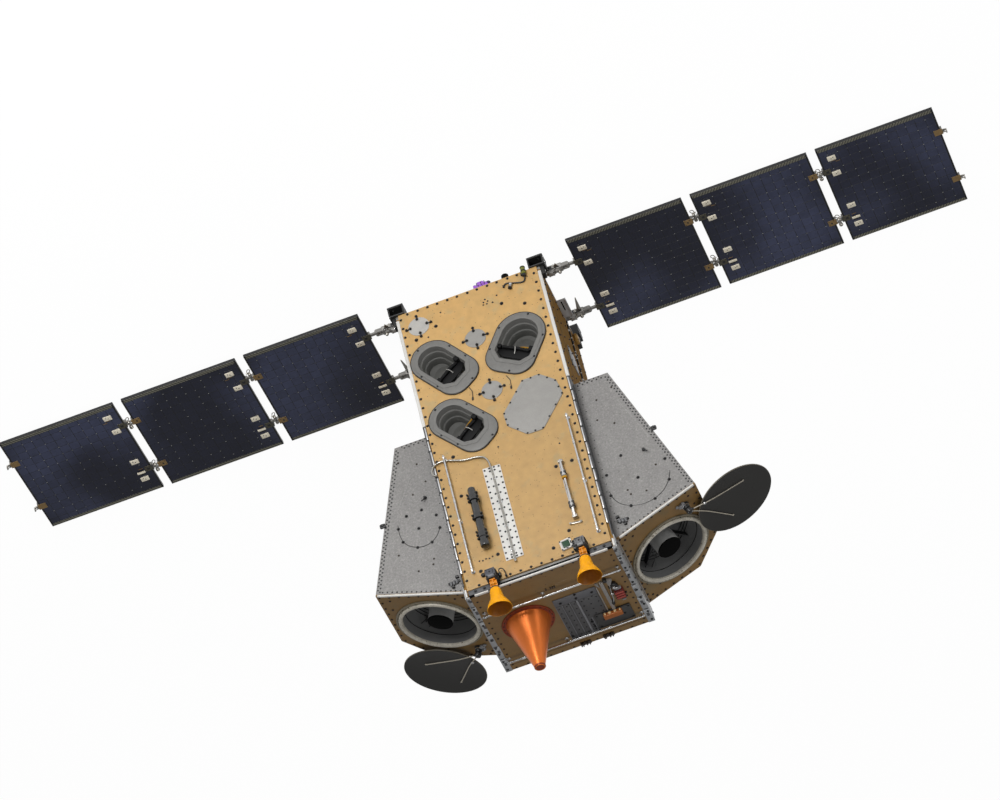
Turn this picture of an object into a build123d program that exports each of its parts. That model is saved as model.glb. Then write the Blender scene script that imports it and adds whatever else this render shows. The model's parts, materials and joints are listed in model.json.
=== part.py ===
"""Observation satellite with two telescope pods and two folding three-panel wings.

Millimetres. The origin is the centre of the floor plane under the four corner feet.
+Z runs from the base end (feet, wings) to the instrument deck (horns, cone),
-Y is the front (tracker) face and +X is the right side as the front face is seen.
"""
import os
from math import atan2, cos, degrees, radians, sin, sqrt, tan

from build123d import *

# ---- driving dimensions: bus -------------------------------------------------
BUS_WIDTH = 1000.0          # between the inner faces of the two side panels
SIDE_WALL = 20.0            # side panel thickness
FRONT_Y = -470.0            # face of the proud front panel
FRONT_SKIN = 15.0           # thickness of the proud front panel
FRAME_WALL = 20.0           # frame plate behind the front panel
BACK_Y = 470.0              # outer face of the back panel
BACK_WALL = 20.0
BASE_Z = 85.0               # underside of the base panel
BASE_WALL = 20.0
DECK_Z = 2500.0             # outer face of the instrument deck
DECK_WALL = 20.0
FRONT_LOWER_STEP = 54.0     # frame strip left bare above the front panel's deck end

RAIL_WIDTH = 24.0           # white corner rails beside the front panel
RAIL_PROUD = 2.0
RAIL_END = 40.0             # rail stops this far short of the front panel's ends

# ---- driving dimensions: feet ------------------------------------------------
FOOT_LENGTH = 112.0         # along X
FOOT_DEPTH = 104.0          # along Y
FOOT_OVERHANG_X = 40.0      # past the side panel
FOOT_OVERHANG_Y = 12.0      # past the front face and the back face
FOOT_WALL = 10.0
FOOT_SOLE = 14.0
FOOT_LEG = 66.0             # leg that runs up the bus side
FOOT_LEG_WALL = 26.0
FOOT_LEG_DEPTH = 60.0
FOOT_HOLE_R = 6.5
FOOT_HOLE_INSET = 34.0      # hole centre from the foot's outer faces

# ---- driving dimensions: trackers and cover plates ---------------------------
TRACKER_TAIL_R = 125.0      # bezel corners at the flat end; the other end is round
TRACKER_FLANGE = 13.0       # bezel thickness on the front panel
TRACKER_LAND = 4.0          # raised land around the aperture
TRACKER_LAND_MARGIN = 30.0
EYE_SIDE_RIM = 50.0         # bezel between the aperture and its long sides
EYE_HEAD_RIM = 56.0         # and its round end
EYE_TAIL_RIM = 102.0        # and its flat end
EYE_TAIL_CHAMFER = 54.0
TRACKER_WALL = 5.0
TRACKER_DEPTH = 150.0
TRACKER_FLOOR = 8.0
# columns: depth below the panel face, step in from the aperture's edge, for each baffle shelf
TRACKER_SHELVES = ((28.0, 15.0), (66.0, 32.0), (104.0, 48.0))
TRACKER_SHELF_THICK = 5.0
TRACKER_DISC_R = 78.0       # sensor disc on the floor
TRACKER_DISC_H = 14.0
TRACKER_DISC_AT = -40.0
FLAP_AT = 76.0              # open shutter across the flat end of the aperture
FLAP_WIDTH = 70.0
FLAP_THICK = 9.0
FLAP_SINK = 22.0            # shutter's top below the panel face
PANEL_CUT_GAP = 1.0         # cut in the panels around each baffle
# columns: name, x, z, angle of the long axis from +X in the XZ plane (degrees), length, width
TRACKERS = (
    ("tracker_upper_right", 281.0, 633.0, 125.7, 519.0, 318.0),
    ("tracker_upper_left", -240.0, 648.0, 57.0, 490.0, 360.0),
    ("tracker_lower_right", 256.0, 1148.0, 128.9, 519.0, 310.0),
)

COVER_THICK = 5.0
COVER_R = 74.0
# columns: x, z of each round cover plate
ROUND_COVERS = ((378.0, 233.0), (25.0, 492.0), (5.0, 954.0))
CLIP_LENGTH = 34.0
CLIP_WIDTH = 12.0
CLIP_THICK = 9.0
OCTAGON_THICK = 6.0
# columns: x, z of the corners of the eight-sided cover
OCTAGON = (
    (-207.0, 962.0), (-330.0, 960.0), (-430.0, 1053.0), (-452.0, 1176.0),
    (-264.0, 1405.0), (-150.0, 1403.0), (-32.0, 1281.0), (-27.0, 1178.0),
)

# ---- driving dimensions: things on the front face ----------------------------
STRIP_X = 140.0             # centre line of the bolted strip and its pipe
STRIP_WIDTH = 124.0
STRIP_Z0 = 1554.0
STRIP_Z1 = 2325.0
STRIP_THICK = 6.0
PIPE_R = 7.0
PIPE_END_Z = 2352.0
# columns: x, z of the pipe's corners before it runs down the strip
PIPE_ROUTE = ((516.0, 1478.0), (534.0, 1440.0), (510.0, 1396.0), (440.0, 1384.0), (330.0, 1434.0),
              (230.0, 1446.0), (158.0, 1476.0))
PIPE_BEND = 24.0

TUBE_X = 302.0              # dark dispenser tube
TUBE_Z0 = 1698.0
TUBE_Z1 = 2188.0
TUBE_R = 26.0
TUBE_COLLAR_R = 36.0
TUBE_COLLAR_LENGTH = 42.0
TUBE_COLLAR_INSET = 90.0    # outer collars' middles from the tube's ends
TUBE_STANDOFF = 46.0        # axis height above the front panel
TUBE_BLOCK = 40.0
TUBE_BLOCK_INSET = 20.0
TUBE_BLOCK_HALF = 16.0

LINK_X = -318.0             # silver strut device
LINK_Z0 = 1712.0
LINK_Z1 = 2196.0
LINK_R = 9.0
LINK_COLLAR_R = 17.0
LINK_COLLAR_LENGTH = 46.0
LINK_STANDOFF = 34.0
LINK_BLOCK = 36.0
LINK_BLOCK_HALF = 12.0
LINK_COLLARS = (96.0, 354.0)  # collars' starts from the link's base end

HANDRAIL_R = 7.0
HANDRAIL_STANDOFF = 32.0
HANDRAIL_POST_R = 6.0
# columns: x, z0, z1 of the rails on the front face
FRONT_RAILS = ((431.0, 1354.0, 2338.0), (-438.0, 1366.0, 2362.0))
# columns: y, half length of the rails on the deck
DECK_RAILS = ((-245.0, 482.0), (335.0, 488.0))
POST_SHARES = (0.02, 0.56, 0.98)         # places of the posts along a rail

CHIP_X = -210.0             # small circuit box by the left horn
CHIP_Z = 2360.0
CHIP_SIZE = 80.0
CHIP_THICK = 14.0

# ---- driving dimensions: horns -----------------------------------------------
HORN_X = 311.0
HORN_AXIS_Y = -530.0
HORN_BLOCK = 78.0           # bracket box, square in X and Z
HORN_BLOCK_DROP = 67.0      # its centre below the deck
HORN_NECK_SIDE = 34.0
HORN_NECK_RISE = 46.0       # end of the neck above the deck
HORN_THROAT_R = 30.0
HORN_WAIST_R = 46.0
HORN_WAIST_RISE = 124.0     # waist and mouth above the deck
HORN_MOUTH_R = 84.0
HORN_MOUTH_RISE = 209.0
HORN_WALL = 4.0

# ---- driving dimensions: things on the deck ----------------------------------
CONE_X = 231.0
CONE_Y = 6.0
CONE_FLANGE_R = 180.0
CONE_FLANGE_THICK = 10.0
CONE_BASE_R = 158.0
CONE_TIP_R = 34.0
CONE_HEIGHT = 381.0
CONE_WALL = 5.0

GRILLE_X0, GRILLE_X1 = -270.0, 27.0      # ribbed bolted plate
GRILLE_Y0, GRILLE_Y1 = -124.0, 370.0
GRILLE_THICK = 8.0
GRILLE_RIB_HEIGHT = 6.0
GRILLE_RIBS = ((-17.0, 8.0), (-74.0, 8.0), (-122.0, 14.0))   # x and width of each rib
FEED_X0, FEED_X1 = -426.0, -176.0        # dark plate let into its corner
FEED_Y0, FEED_Y1 = 180.0, 344.0
FEED_THICK = 12.0
FEED_GAP = 1.0
FEED_BLOCK_X, FEED_BLOCK_Y = -300.0, 207.0
FEED_BLOCK_LENGTH = 130.0
FEED_BLOCK_WIDTH = 48.0
FEED_BLOCK_HEIGHT = 30.0
CONTACTS = 4
CONTACT_R = 9.0
CONTACT_HEIGHT = 12.0
GUIDE_X = -319.0                          # silver bar between the horn and the feed
GUIDE_WIDTH, GUIDE_HEIGHT = 24.0, 16.0
GUIDE_Y0, GUIDE_Y1 = -150.0, 178.0
SWITCH_X, SWITCH_Y = -404.0, 25.0         # red switch block
SWITCH_LENGTH, SWITCH_WIDTH, SWITCH_HEIGHT = 64.0, 100.0, 42.0

# ---- driving dimensions: pods ------------------------------------------------
POD_FRONT_Y = -357.0
POD_DEPTH = 800.0
POD_TOP_Z = 1053.0
POD_TOP_WIDTH = 240.0       # outward from the side panel at the base end
POD_FACE_Z = 2376.0         # inner edge of the aperture face
POD_FACE_WIDTH = 640.0      # along the slope
POD_TILT = 20.0             # aperture axis from +Z, outward
POD_CHAMFER_SLOPE = 213.0   # outer back corner, cut along the slope
POD_CHAMFER_DEPTH = 226.0   # and along Y
POD_WALL = 12.0
POD_FACE_THICK = 14.0

# slope and Y of the telescope's centre on each side's aperture face (1 is right, -1 is left)
APERTURES = {1: (307.0, 16.0), -1: (297.0, 77.0)}
BARREL_BORE_R = 246.0
BARREL_WALL = 7.0
BARREL_DEPTH = 340.0
BARREL_FLOOR = 10.0
BEZEL_R = 294.0
BEZEL_HEIGHT = 14.0
BEZEL_LIP_R = 271.0
BEZEL_LIP_HEIGHT = 26.0
BAFFLE_RINGS = 3
BAFFLE_RING_THICK = 5.0
BAFFLE_RING_STEP = 12.0
BAFFLE_RING_PITCH = 72.0
HUB_R = 85.0
HUB_WALL = 6.0
HUB_TOP = -6.0              # hub end below the face plane
HUB_LENGTH = 200.0
HUB_HOLLOW = 90.0           # depth of the open end of the hub
SPIDER_VANES = 4
SPIDER_WALL = 8.0
SPIDER_DEPTH = 40.0
BARREL_CUT_GAP = 1.0

# ---- driving dimensions: lids ------------------------------------------------
LID_R = 281.0
LID_THICK = 10.0
LID_HEIGHT = 42.0           # underside above the face plane
POST_R = 24.0
POST_HEIGHT = 38.0
PIVOT_R = 9.0
PIVOT_GAP = 0.05
PIVOT_HEIGHT = 74.0
LID_HUB_R = 22.0
LID_HUB_HEIGHT = 26.0
STRUT_WIDTH = 13.0
STRUT_THICK = 9.0
STRUT_SPREAD = 155.0        # strut end, each side of the lid's centre line
STRUT_REACH = 20.0          # strut end past the lid's centre
# columns: side, arm length, bearing of the post from the aperture's centre,
# bearing of the open lid from the post (degrees from the outward slope towards +Y)
LIDS = (
    ("right", 365.0, 118.7, 35.8),
    ("left", 374.0, -54.9, 32.2),
)

# ---- driving dimensions: wings -----------------------------------------------
WING_Z = 40.0               # middle plane of the panels
WING_Y = -48.0              # middle of the chord
PANEL_CHORD = 1050.0
PANEL_LENGTH = 832.0
PANEL_THICK = 20.0
PANEL_GAP = 62.0
PANEL_START_X = 750.0
PANEL_RAIL_WIDTH = 30.0     # stiffer strips along the two chord edges
PANEL_RAIL_PROUD = 2.0
PANELS = 3
FOLD_GAP = 16.0             # clear space between folded panels
HINGE_OFFSET_Y = 270.0      # hinge lines either side of the chord's middle
ROOT_X = 690.0              # root hinge axis
KNUCKLE_R = 8.0
PIN_R = 4.0
PIN_GAP = 0.05
TONGUE_WIDTH = 18.0
EAR_GAP = 2.0               # side gap between tongue and ear
EAR_WIDTH = 8.0
EAR_END_GAP = 2.0
HINGE_BLOCK = 12.0          # block on the panel's end
HINGE_BLOCK_RISE = 14.0     # half height of the block
LEAF_LENGTH = 48.0
LEAF_WIDTH = 56.0
LEAF_THICK = 4.0
ROOT_KNUCKLE_R = 14.0
ROOT_PIN_R = 6.0
ROOT_TONGUE_WIDTH = 22.0
ROOT_EAR_WIDTH = 10.0
ARM_WIDTH = 50.0
ARM_HEIGHT = 38.0
ARM_END_X = 652.0
ARM_ROOT_X = 440.0
HOOK_REACH = 42.0
HOOK_RISE = 34.0
HOOK_BAR = 9.0
PAD_SIZE = 44.0
PAD_THICK = 4.0
# columns: distance from the panel's inner edge, distance from the chord's middle
PADS = ((84.0, -402.0), (78.0, -232.0), (84.0, 152.0), (84.0, 292.0), (84.0, 366.0))

# ---- driving dimensions: small units -----------------------------------------
PURPLE_X, PURPLE_Y = -94.0, -436.0       # boxed unit under the base panel's front edge
PURPLE_WIDTH, PURPLE_DEPTH, PURPLE_HEIGHT = 104.0, 60.0, 62.0
STUB_X = -272.0                           # dark socket beside it
STUB_R = 20.0
STUB_HEIGHT = 34.0
PLUG_X = -409.0                           # green plug at the left front foot
PLUG_R = 18.0
PLUG_Z0, PLUG_Z1 = 62.0, 138.0
WIRE_R = 6.0
# columns: x, z of the plug's wire on the front face
WIRE_ROUTE = ((-409.0, 138.0), (-398.0, 178.0), (-335.0, 160.0), (-278.0, 140.0), (-252.0, 158.0))
WIRE_BEND = 18.0
FIN_Y0, FIN_Y1 = -90.0, 110.0             # flat plate that stands off the left side
FIN_REACH = 66.0
FIN_THICK = 12.0
FIN_Z = 120.0
SIDE_BOX_Y, SIDE_BOX_Z = 350.0, 150.0
SIDE_BOX_SIZE = 60.0
SIDE_BOX_REACH = 28.0
CABLE_R = 6.0
CABLE_Y = 150.0
CABLE_Z0, CABLE_Z1 = 130.0, 1040.0
FLANGE_WIDTH = 40.0                       # bolted flanges along the deck's side edges
FLANGE_LIP = 8.0
FLANGE_THICK = 5.0
FLANGE_DROP = 100.0

# ---- derived values ----------------------------------------------------------
HALF = BUS_WIDTH / 2
SIDE_X = HALF + SIDE_WALL
FRAME_Y = FRONT_Y + FRONT_SKIN
FRONT_END_Z = DECK_Z - FRONT_LOWER_STEP
WALL_Z0 = BASE_Z + BASE_WALL
WALL_Z1 = DECK_Z - DECK_WALL
HORN_BLOCK_Z = DECK_Z - HORN_BLOCK_DROP
HORN_NECK_END = DECK_Z + HORN_NECK_RISE
HORN_WAIST_Z = DECK_Z + HORN_WAIST_RISE
HORN_MOUTH_Z = DECK_Z + HORN_MOUTH_RISE
TILT = radians(POD_TILT)
PANEL_PITCH = PANEL_LENGTH + PANEL_GAP
HINGE_DROP = (PANEL_THICK + FOLD_GAP) / 2
SIDES = (("right", 1), ("left", -1))
MIDDLE = (Align.CENTER, Align.CENTER, Align.CENTER)
FROM_BASE = (Align.CENTER, Align.CENTER, Align.MIN)


def save(name, *solids):
    """Write one node; several solids are kept apart in a compound."""
    shape = solids[0] if len(solids) == 1 else Compound(children=list(solids))
    shape.label = name
    export_step(shape, f"parts/{name}.step")


def block(x0, x1, y0, y1, z0, z1):
    """Box between two corners, in any order."""
    size = (abs(x1 - x0), abs(y1 - y0), abs(z1 - z0))
    return Pos((x0 + x1) / 2, (y0 + y1) / 2, (z0 + z1) / 2) * Box(*size)


def rod(start, end, radius):
    """Straight round bar between two points."""
    a, b = Vector(*start), Vector(*end)
    return Plane(origin=a, z_dir=b - a) * Cylinder(radius, (b - a).length, align=FROM_BASE)


def front_plane(x, z, y=FRONT_Y, angle=0.0):
    """Plane on the front face: its normal points out of the face (-Y)."""
    turn = radians(angle)
    return Plane(origin=(x, y, z), x_dir=(cos(turn), 0, sin(turn)), z_dir=(0, -1, 0))


def face_plane(side, slope, y, height=0.0):
    """Plane on a pod's aperture face; local Z is the aperture axis."""
    origin = (
        side * (SIDE_X + slope * cos(TILT) + height * sin(TILT)),
        y,
        POD_FACE_Z - slope * sin(TILT) + height * cos(TILT),
    )
    return Plane(origin=origin, x_dir=(side * cos(TILT), 0, -sin(TILT)), z_dir=(side * sin(TILT), 0, cos(TILT)))


# ---- bus ---------------------------------------------------------------------
def eye_outline(length, width, grow=0.0):
    """Aperture outline of a tracker: round at the head (-X), cut corners at the tail (+X)."""
    half = width / 2 - EYE_SIDE_RIM + grow
    tail = length / 2 - EYE_TAIL_RIM + grow
    head = width / 2 - EYE_SIDE_RIM - (length / 2 - EYE_HEAD_RIM)
    chamfer = EYE_TAIL_CHAMFER + grow * (2 - sqrt(2))
    corners = [(head, -half), (tail - chamfer, -half), (tail, chamfer - half), (tail, half - chamfer),
               (tail - chamfer, half), (head, half)]
    return Pos(head, 0) * Circle(half) + make_face(Polyline(*corners, close=True))


def tracker_cut(length, width):
    """Hole in the panels for one baffle, in the tracker's own plane."""
    reach = FRONT_SKIN + 2 * FRAME_WALL
    return extrude(eye_outline(length, width, TRACKER_WALL + PANEL_CUT_GAP), reach, both=True)


def cut_trackers(plate):
    for _name, x, z, angle, length, width in TRACKERS:
        plate -= front_plane(x, z, angle=angle) * tracker_cut(length, width)
    return plate


def barrel_cut(side):
    """Way through a side panel for the telescope barrel."""
    seat = face_plane(side, *APERTURES[side], -POD_FACE_THICK)
    radius = BARREL_BORE_R + BARREL_WALL + BARREL_CUT_GAP
    depth = BARREL_DEPTH + BARREL_FLOOR + POD_WALL
    return seat * Pos(0, 0, -depth / 2) * Cylinder(radius, depth + 2 * POD_WALL)


def bus():
    save("front_panel", cut_trackers(block(-HALF, HALF, FRONT_Y, FRAME_Y, BASE_Z, FRONT_END_Z)))
    save("front_frame", cut_trackers(block(-HALF, HALF, FRAME_Y, FRAME_Y + FRAME_WALL, WALL_Z0, WALL_Z1)))
    save("back_panel", block(-HALF, HALF, BACK_Y - BACK_WALL, BACK_Y, WALL_Z0, WALL_Z1))
    save("base_panel", block(-SIDE_X, SIDE_X, FRAME_Y, BACK_Y, BASE_Z, WALL_Z0))
    save("instrument_deck", block(-SIDE_X, SIDE_X, FRAME_Y, BACK_Y, WALL_Z1, DECK_Z))
    for name, side in SIDES:
        wall = block(side * HALF, side * SIDE_X, FRAME_Y, BACK_Y, WALL_Z0, WALL_Z1)
        save(f"side_panel_{name}", wall - barrel_cut(side))
    rails = [
        block(s * HALF, s * (HALF + RAIL_WIDTH), FRONT_Y - RAIL_PROUD, FRAME_Y, BASE_Z + RAIL_END, FRONT_END_Z - RAIL_END)
        for _n, s in SIDES
    ]
    save("corner_rails", *rails)
    flanges = []
    for _name, s in SIDES:
        flat = block(s * (SIDE_X - FLANGE_WIDTH), s * (SIDE_X + FLANGE_LIP), FRAME_Y, BACK_Y, DECK_Z, DECK_Z + FLANGE_THICK)
        drop = block(s * SIDE_X, s * (SIDE_X + FLANGE_LIP), FRAME_Y, BACK_Y, DECK_Z - FLANGE_DROP, DECK_Z)
        flanges.append(flat + drop)
    save("deck_flanges", *flanges)


def corner_foot(side, end):
    """Open-fronted box under a corner with a leg up the bus side."""
    x1 = side * (SIDE_X + FOOT_OVERHANG_X)
    x0 = x1 - side * FOOT_LENGTH
    face_y = FRONT_Y if end < 0 else BACK_Y
    y1 = face_y + end * FOOT_OVERHANG_Y
    y0 = y1 - end * FOOT_DEPTH
    foot = block(x0, x1, y0, y1, 0, BASE_Z)
    foot -= block(
        x0 + side * FOOT_WALL, x1 - side * FOOT_WALL, y0 + end * FOOT_WALL, y1 + end * FOOT_WALL,
        FOOT_SOLE, BASE_Z - FOOT_WALL,
    )
    leg_y = BACK_Y if end > 0 else FRAME_Y
    foot += block(side * SIDE_X, side * (SIDE_X + FOOT_LEG_WALL), leg_y, leg_y - end * FOOT_LEG_DEPTH,
                  BASE_Z, BASE_Z + FOOT_LEG)
    hole = Pos(x1 - side * FOOT_HOLE_INSET, y1 - end * FOOT_HOLE_INSET, FOOT_SOLE / 2)
    return foot - hole * Cylinder(FOOT_HOLE_R, 2 * FOOT_SOLE)


def feet():
    save("corner_feet", *[corner_foot(side, end) for _name, side in SIDES for end in (-1, 1)])


# ---- front face --------------------------------------------------------------
def tracker(length, width):
    """Bezel, shelved baffle cup, sensor disc and open shutter; local Z points out of the face."""
    bezel = extrude(Rectangle(length, width), TRACKER_FLANGE)
    edges = bezel.edges().filter_by(Axis.Z)
    bezel = fillet(edges.filter_by_position(Axis.X, -length / 2 - 1, -length / 2 + 1), width / 2 - 1)
    edges = bezel.edges().filter_by(Axis.Z)
    bezel = fillet(edges.filter_by_position(Axis.X, length / 2 - 1, length / 2 + 1), TRACKER_TAIL_R)
    bezel += Pos(0, 0, TRACKER_FLANGE) * extrude(eye_outline(length, width, TRACKER_LAND_MARGIN), TRACKER_LAND)
    cup = Pos(0, 0, -TRACKER_DEPTH) * extrude(eye_outline(length, width, TRACKER_WALL), TRACKER_DEPTH)
    bore = Pos(0, 0, TRACKER_FLOOR - TRACKER_DEPTH) * extrude(
        eye_outline(length, width), TRACKER_DEPTH + TRACKER_FLANGE + TRACKER_LAND)
    body = bezel + cup - bore
    for depth, step in TRACKER_SHELVES:
        shelf = extrude(eye_outline(length, width, 1), TRACKER_SHELF_THICK)
        shelf -= extrude(eye_outline(length, width, -step), TRACKER_SHELF_THICK)
        body += Pos(0, 0, -depth) * shelf
    body += Pos(TRACKER_DISC_AT, 0, TRACKER_FLOOR - TRACKER_DEPTH) * Cylinder(
        TRACKER_DISC_R, TRACKER_DISC_H, align=FROM_BASE)
    shutter = Pos(FLAP_AT, 0, -FLAP_SINK - FLAP_THICK) * Box(FLAP_WIDTH, width, FLAP_THICK, align=FROM_BASE)
    shutter &= Pos(0, 0, -TRACKER_DEPTH) * extrude(eye_outline(length, width, 1), TRACKER_DEPTH)
    return body + shutter


def covers():
    """Round covers with four clips each, and the eight-sided cover."""
    plates = []
    for x, z in ROUND_COVERS:
        plate = Cylinder(COVER_R, COVER_THICK, align=FROM_BASE)
        for turn in range(4):
            clip = Pos(COVER_R, 0, 0) * Box(CLIP_LENGTH, CLIP_WIDTH, CLIP_THICK, align=FROM_BASE)
            plate += Rot(0, 0, 45 + 90 * turn) * clip
        plates.append(front_plane(x, z) * plate)
    corners = [(x, z) for x, z in OCTAGON]
    octagon = extrude(front_plane(0, 0) * make_face(Polyline(*corners, close=True)), OCTAGON_THICK)
    save("cover_plates", *plates, octagon)


def bent_tube(points, y, radius, bend):
    """Round tube through points of the front face, with one bend radius."""
    path = FilletPolyline(*[(x, y, z) for x, z in points], radius=bend)
    start = Plane(origin=path @ 0, z_dir=path % 0)
    return sweep(start * Circle(radius), path=path)


def front_fittings():
    strip = block(STRIP_X - STRIP_WIDTH / 2, STRIP_X + STRIP_WIDTH / 2, FRONT_Y, FRONT_Y - STRIP_THICK, STRIP_Z0, STRIP_Z1)
    pipe_y = FRONT_Y - STRIP_THICK - PIPE_R + 1
    route = (*PIPE_ROUTE, (STRIP_X, STRIP_Z0), (STRIP_X, PIPE_END_Z))
    save("strip_and_pipe", strip + bent_tube(route, pipe_y, PIPE_R, PIPE_BEND))

    axis_y = FRONT_Y - TUBE_STANDOFF
    tube = rod((TUBE_X, axis_y, TUBE_Z0), (TUBE_X, axis_y, TUBE_Z1), TUBE_R)
    for z in (TUBE_Z0 + TUBE_COLLAR_INSET, (TUBE_Z0 + TUBE_Z1) / 2, TUBE_Z1 - TUBE_COLLAR_INSET):
        tube += rod((TUBE_X, axis_y, z - TUBE_COLLAR_LENGTH / 2), (TUBE_X, axis_y, z + TUBE_COLLAR_LENGTH / 2), TUBE_COLLAR_R)
    for z in (TUBE_Z0 + TUBE_BLOCK_INSET, TUBE_Z1 - TUBE_BLOCK_INSET):
        tube += block(TUBE_X - TUBE_BLOCK, TUBE_X + TUBE_BLOCK, axis_y, FRONT_Y,
                      z - TUBE_BLOCK_HALF, z + TUBE_BLOCK_HALF)
    save("dispenser_tube", tube)

    axis_y = FRONT_Y - LINK_STANDOFF
    link = rod((LINK_X, axis_y, LINK_Z0), (LINK_X, axis_y, LINK_Z1), LINK_R)
    for z in (LINK_Z0 + start for start in LINK_COLLARS):
        link += rod((LINK_X, axis_y, z), (LINK_X, axis_y, z + LINK_COLLAR_LENGTH), LINK_COLLAR_R)
    for z in (LINK_Z0 + LINK_BLOCK_HALF, LINK_Z1 - LINK_BLOCK_HALF):
        link += block(LINK_X - LINK_BLOCK, LINK_X + LINK_BLOCK, axis_y - LINK_R, FRONT_Y,
                      z - LINK_BLOCK_HALF, z + LINK_BLOCK_HALF)
    save("strut_link", link)


def handrail(start, end, foot_direction):
    """Round rail with a post near each end."""
    a, b, drop = Vector(*start), Vector(*end), Vector(*foot_direction) * HANDRAIL_STANDOFF
    rail = rod(a, b, HANDRAIL_R)
    for share in POST_SHARES:
        top = a + (b - a) * share
        rail += rod(top, top + drop, HANDRAIL_POST_R)
    return rail


def handrails():
    y = FRONT_Y - HANDRAIL_STANDOFF
    z = DECK_Z + HANDRAIL_STANDOFF
    rails = [handrail((x, y, z0), (x, y, z1), (0, 1, 0)) for x, z0, z1 in FRONT_RAILS]
    save("front_handrails", *rails)
    rails = [handrail((-reach, yy, z), (reach, yy, z), (0, 0, -1)) for yy, reach in DECK_RAILS]
    save("deck_handrails", *rails)


def horn(side):
    """Square neck, waist and bell, hollow from the mouth to the throat."""
    x = side * HORN_X
    neck_start = HORN_BLOCK_Z + HORN_BLOCK / 2
    neck = block(x - HORN_NECK_SIDE / 2, x + HORN_NECK_SIDE / 2, HORN_AXIS_Y - HORN_NECK_SIDE / 2,
                 HORN_AXIS_Y + HORN_NECK_SIDE / 2, neck_start, HORN_NECK_END)
    outside = [(0, HORN_NECK_END), (HORN_THROAT_R, HORN_NECK_END), (HORN_WAIST_R, HORN_WAIST_Z),
               (HORN_MOUTH_R, HORN_MOUTH_Z), (0, HORN_MOUTH_Z)]
    inside = [(0, HORN_NECK_END + HORN_WALL), (HORN_THROAT_R - HORN_WALL, HORN_NECK_END + HORN_WALL),
              (HORN_WAIST_R - HORN_WALL, HORN_WAIST_Z), (HORN_MOUTH_R - HORN_WALL, HORN_MOUTH_Z),
              (0, HORN_MOUTH_Z)]
    plane = Plane(origin=(x, HORN_AXIS_Y, 0), x_dir=(1, 0, 0), z_dir=(0, -1, 0))
    axis = Axis((x, HORN_AXIS_Y, 0), (0, 0, 1))
    bell = revolve(plane * make_face(Polyline(*outside, close=True)), axis)
    bell -= revolve(plane * make_face(Polyline(*inside, close=True)), axis)
    return neck + bell


def horns():
    brackets = []
    for name, side in SIDES:
        save(f"horn_{name}", horn(side))
        x = side * HORN_X
        back = HORN_AXIS_Y - HORN_BLOCK / 2
        brackets.append(block(x - HORN_BLOCK / 2, x + HORN_BLOCK / 2, back, FRONT_Y,
                              HORN_BLOCK_Z - HORN_BLOCK / 2, HORN_BLOCK_Z + HORN_BLOCK / 2))
    chip = block(CHIP_X - CHIP_SIZE / 2, CHIP_X + CHIP_SIZE / 2, FRONT_Y, FRONT_Y - CHIP_THICK,
                 CHIP_Z - CHIP_SIZE / 2, CHIP_Z + CHIP_SIZE / 2)
    save("horn_brackets", *brackets, chip)


# ---- instrument deck ---------------------------------------------------------
def cone():
    flange = Cylinder(CONE_FLANGE_R, CONE_FLANGE_THICK, align=FROM_BASE)
    outside = Cone(CONE_BASE_R, CONE_TIP_R, CONE_HEIGHT, align=FROM_BASE)
    inside = Cone(CONE_BASE_R - CONE_WALL, CONE_TIP_R - CONE_WALL, CONE_HEIGHT, align=FROM_BASE)
    core = Cylinder(CONE_BASE_R - CONE_WALL, CONE_FLANGE_THICK, align=FROM_BASE)
    save("copper_cone", Pos(CONE_X, CONE_Y, DECK_Z) * (flange - core + outside - inside))


def deck_units():
    grille = block(GRILLE_X0, GRILLE_X1, GRILLE_Y0, GRILLE_Y1, DECK_Z, DECK_Z + GRILLE_THICK)
    for x, width in GRILLE_RIBS:
        grille += block(x - width / 2, x + width / 2, GRILLE_Y0, GRILLE_Y1,
                        DECK_Z + GRILLE_THICK, DECK_Z + GRILLE_THICK + GRILLE_RIB_HEIGHT)
    grille -= block(GRILLE_X0, FEED_X1 + FEED_GAP, FEED_Y0 - FEED_GAP, FEED_Y1 + FEED_GAP,
                    DECK_Z, DECK_Z + GRILLE_THICK)
    feed = block(FEED_X0, FEED_X1, FEED_Y0, FEED_Y1, DECK_Z, DECK_Z + FEED_THICK)
    save("deck_plates", grille, feed)

    top = DECK_Z + FEED_THICK
    mid_x, mid_y = FEED_BLOCK_X, FEED_BLOCK_Y
    feed_block = block(mid_x - FEED_BLOCK_LENGTH / 2, mid_x + FEED_BLOCK_LENGTH / 2,
                       mid_y - FEED_BLOCK_WIDTH / 2, mid_y + FEED_BLOCK_WIDTH / 2, top, top + FEED_BLOCK_HEIGHT)
    for number in range(CONTACTS):
        x = mid_x + (number - (CONTACTS - 1) / 2) * FEED_BLOCK_LENGTH / CONTACTS
        feed_block += rod((x, mid_y, top + FEED_BLOCK_HEIGHT), (x, mid_y, top + FEED_BLOCK_HEIGHT + CONTACT_HEIGHT), CONTACT_R)
    switch = block(SWITCH_X - SWITCH_LENGTH / 2, SWITCH_X + SWITCH_LENGTH / 2, SWITCH_Y - SWITCH_WIDTH / 2,
                   SWITCH_Y + SWITCH_WIDTH / 2, DECK_Z, DECK_Z + SWITCH_HEIGHT)
    guide = block(GUIDE_X - GUIDE_WIDTH / 2, GUIDE_X + GUIDE_WIDTH / 2, GUIDE_Y0, GUIDE_Y1,
                  DECK_Z, DECK_Z + GUIDE_HEIGHT)
    save("deck_units", feed_block, switch, guide)


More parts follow.
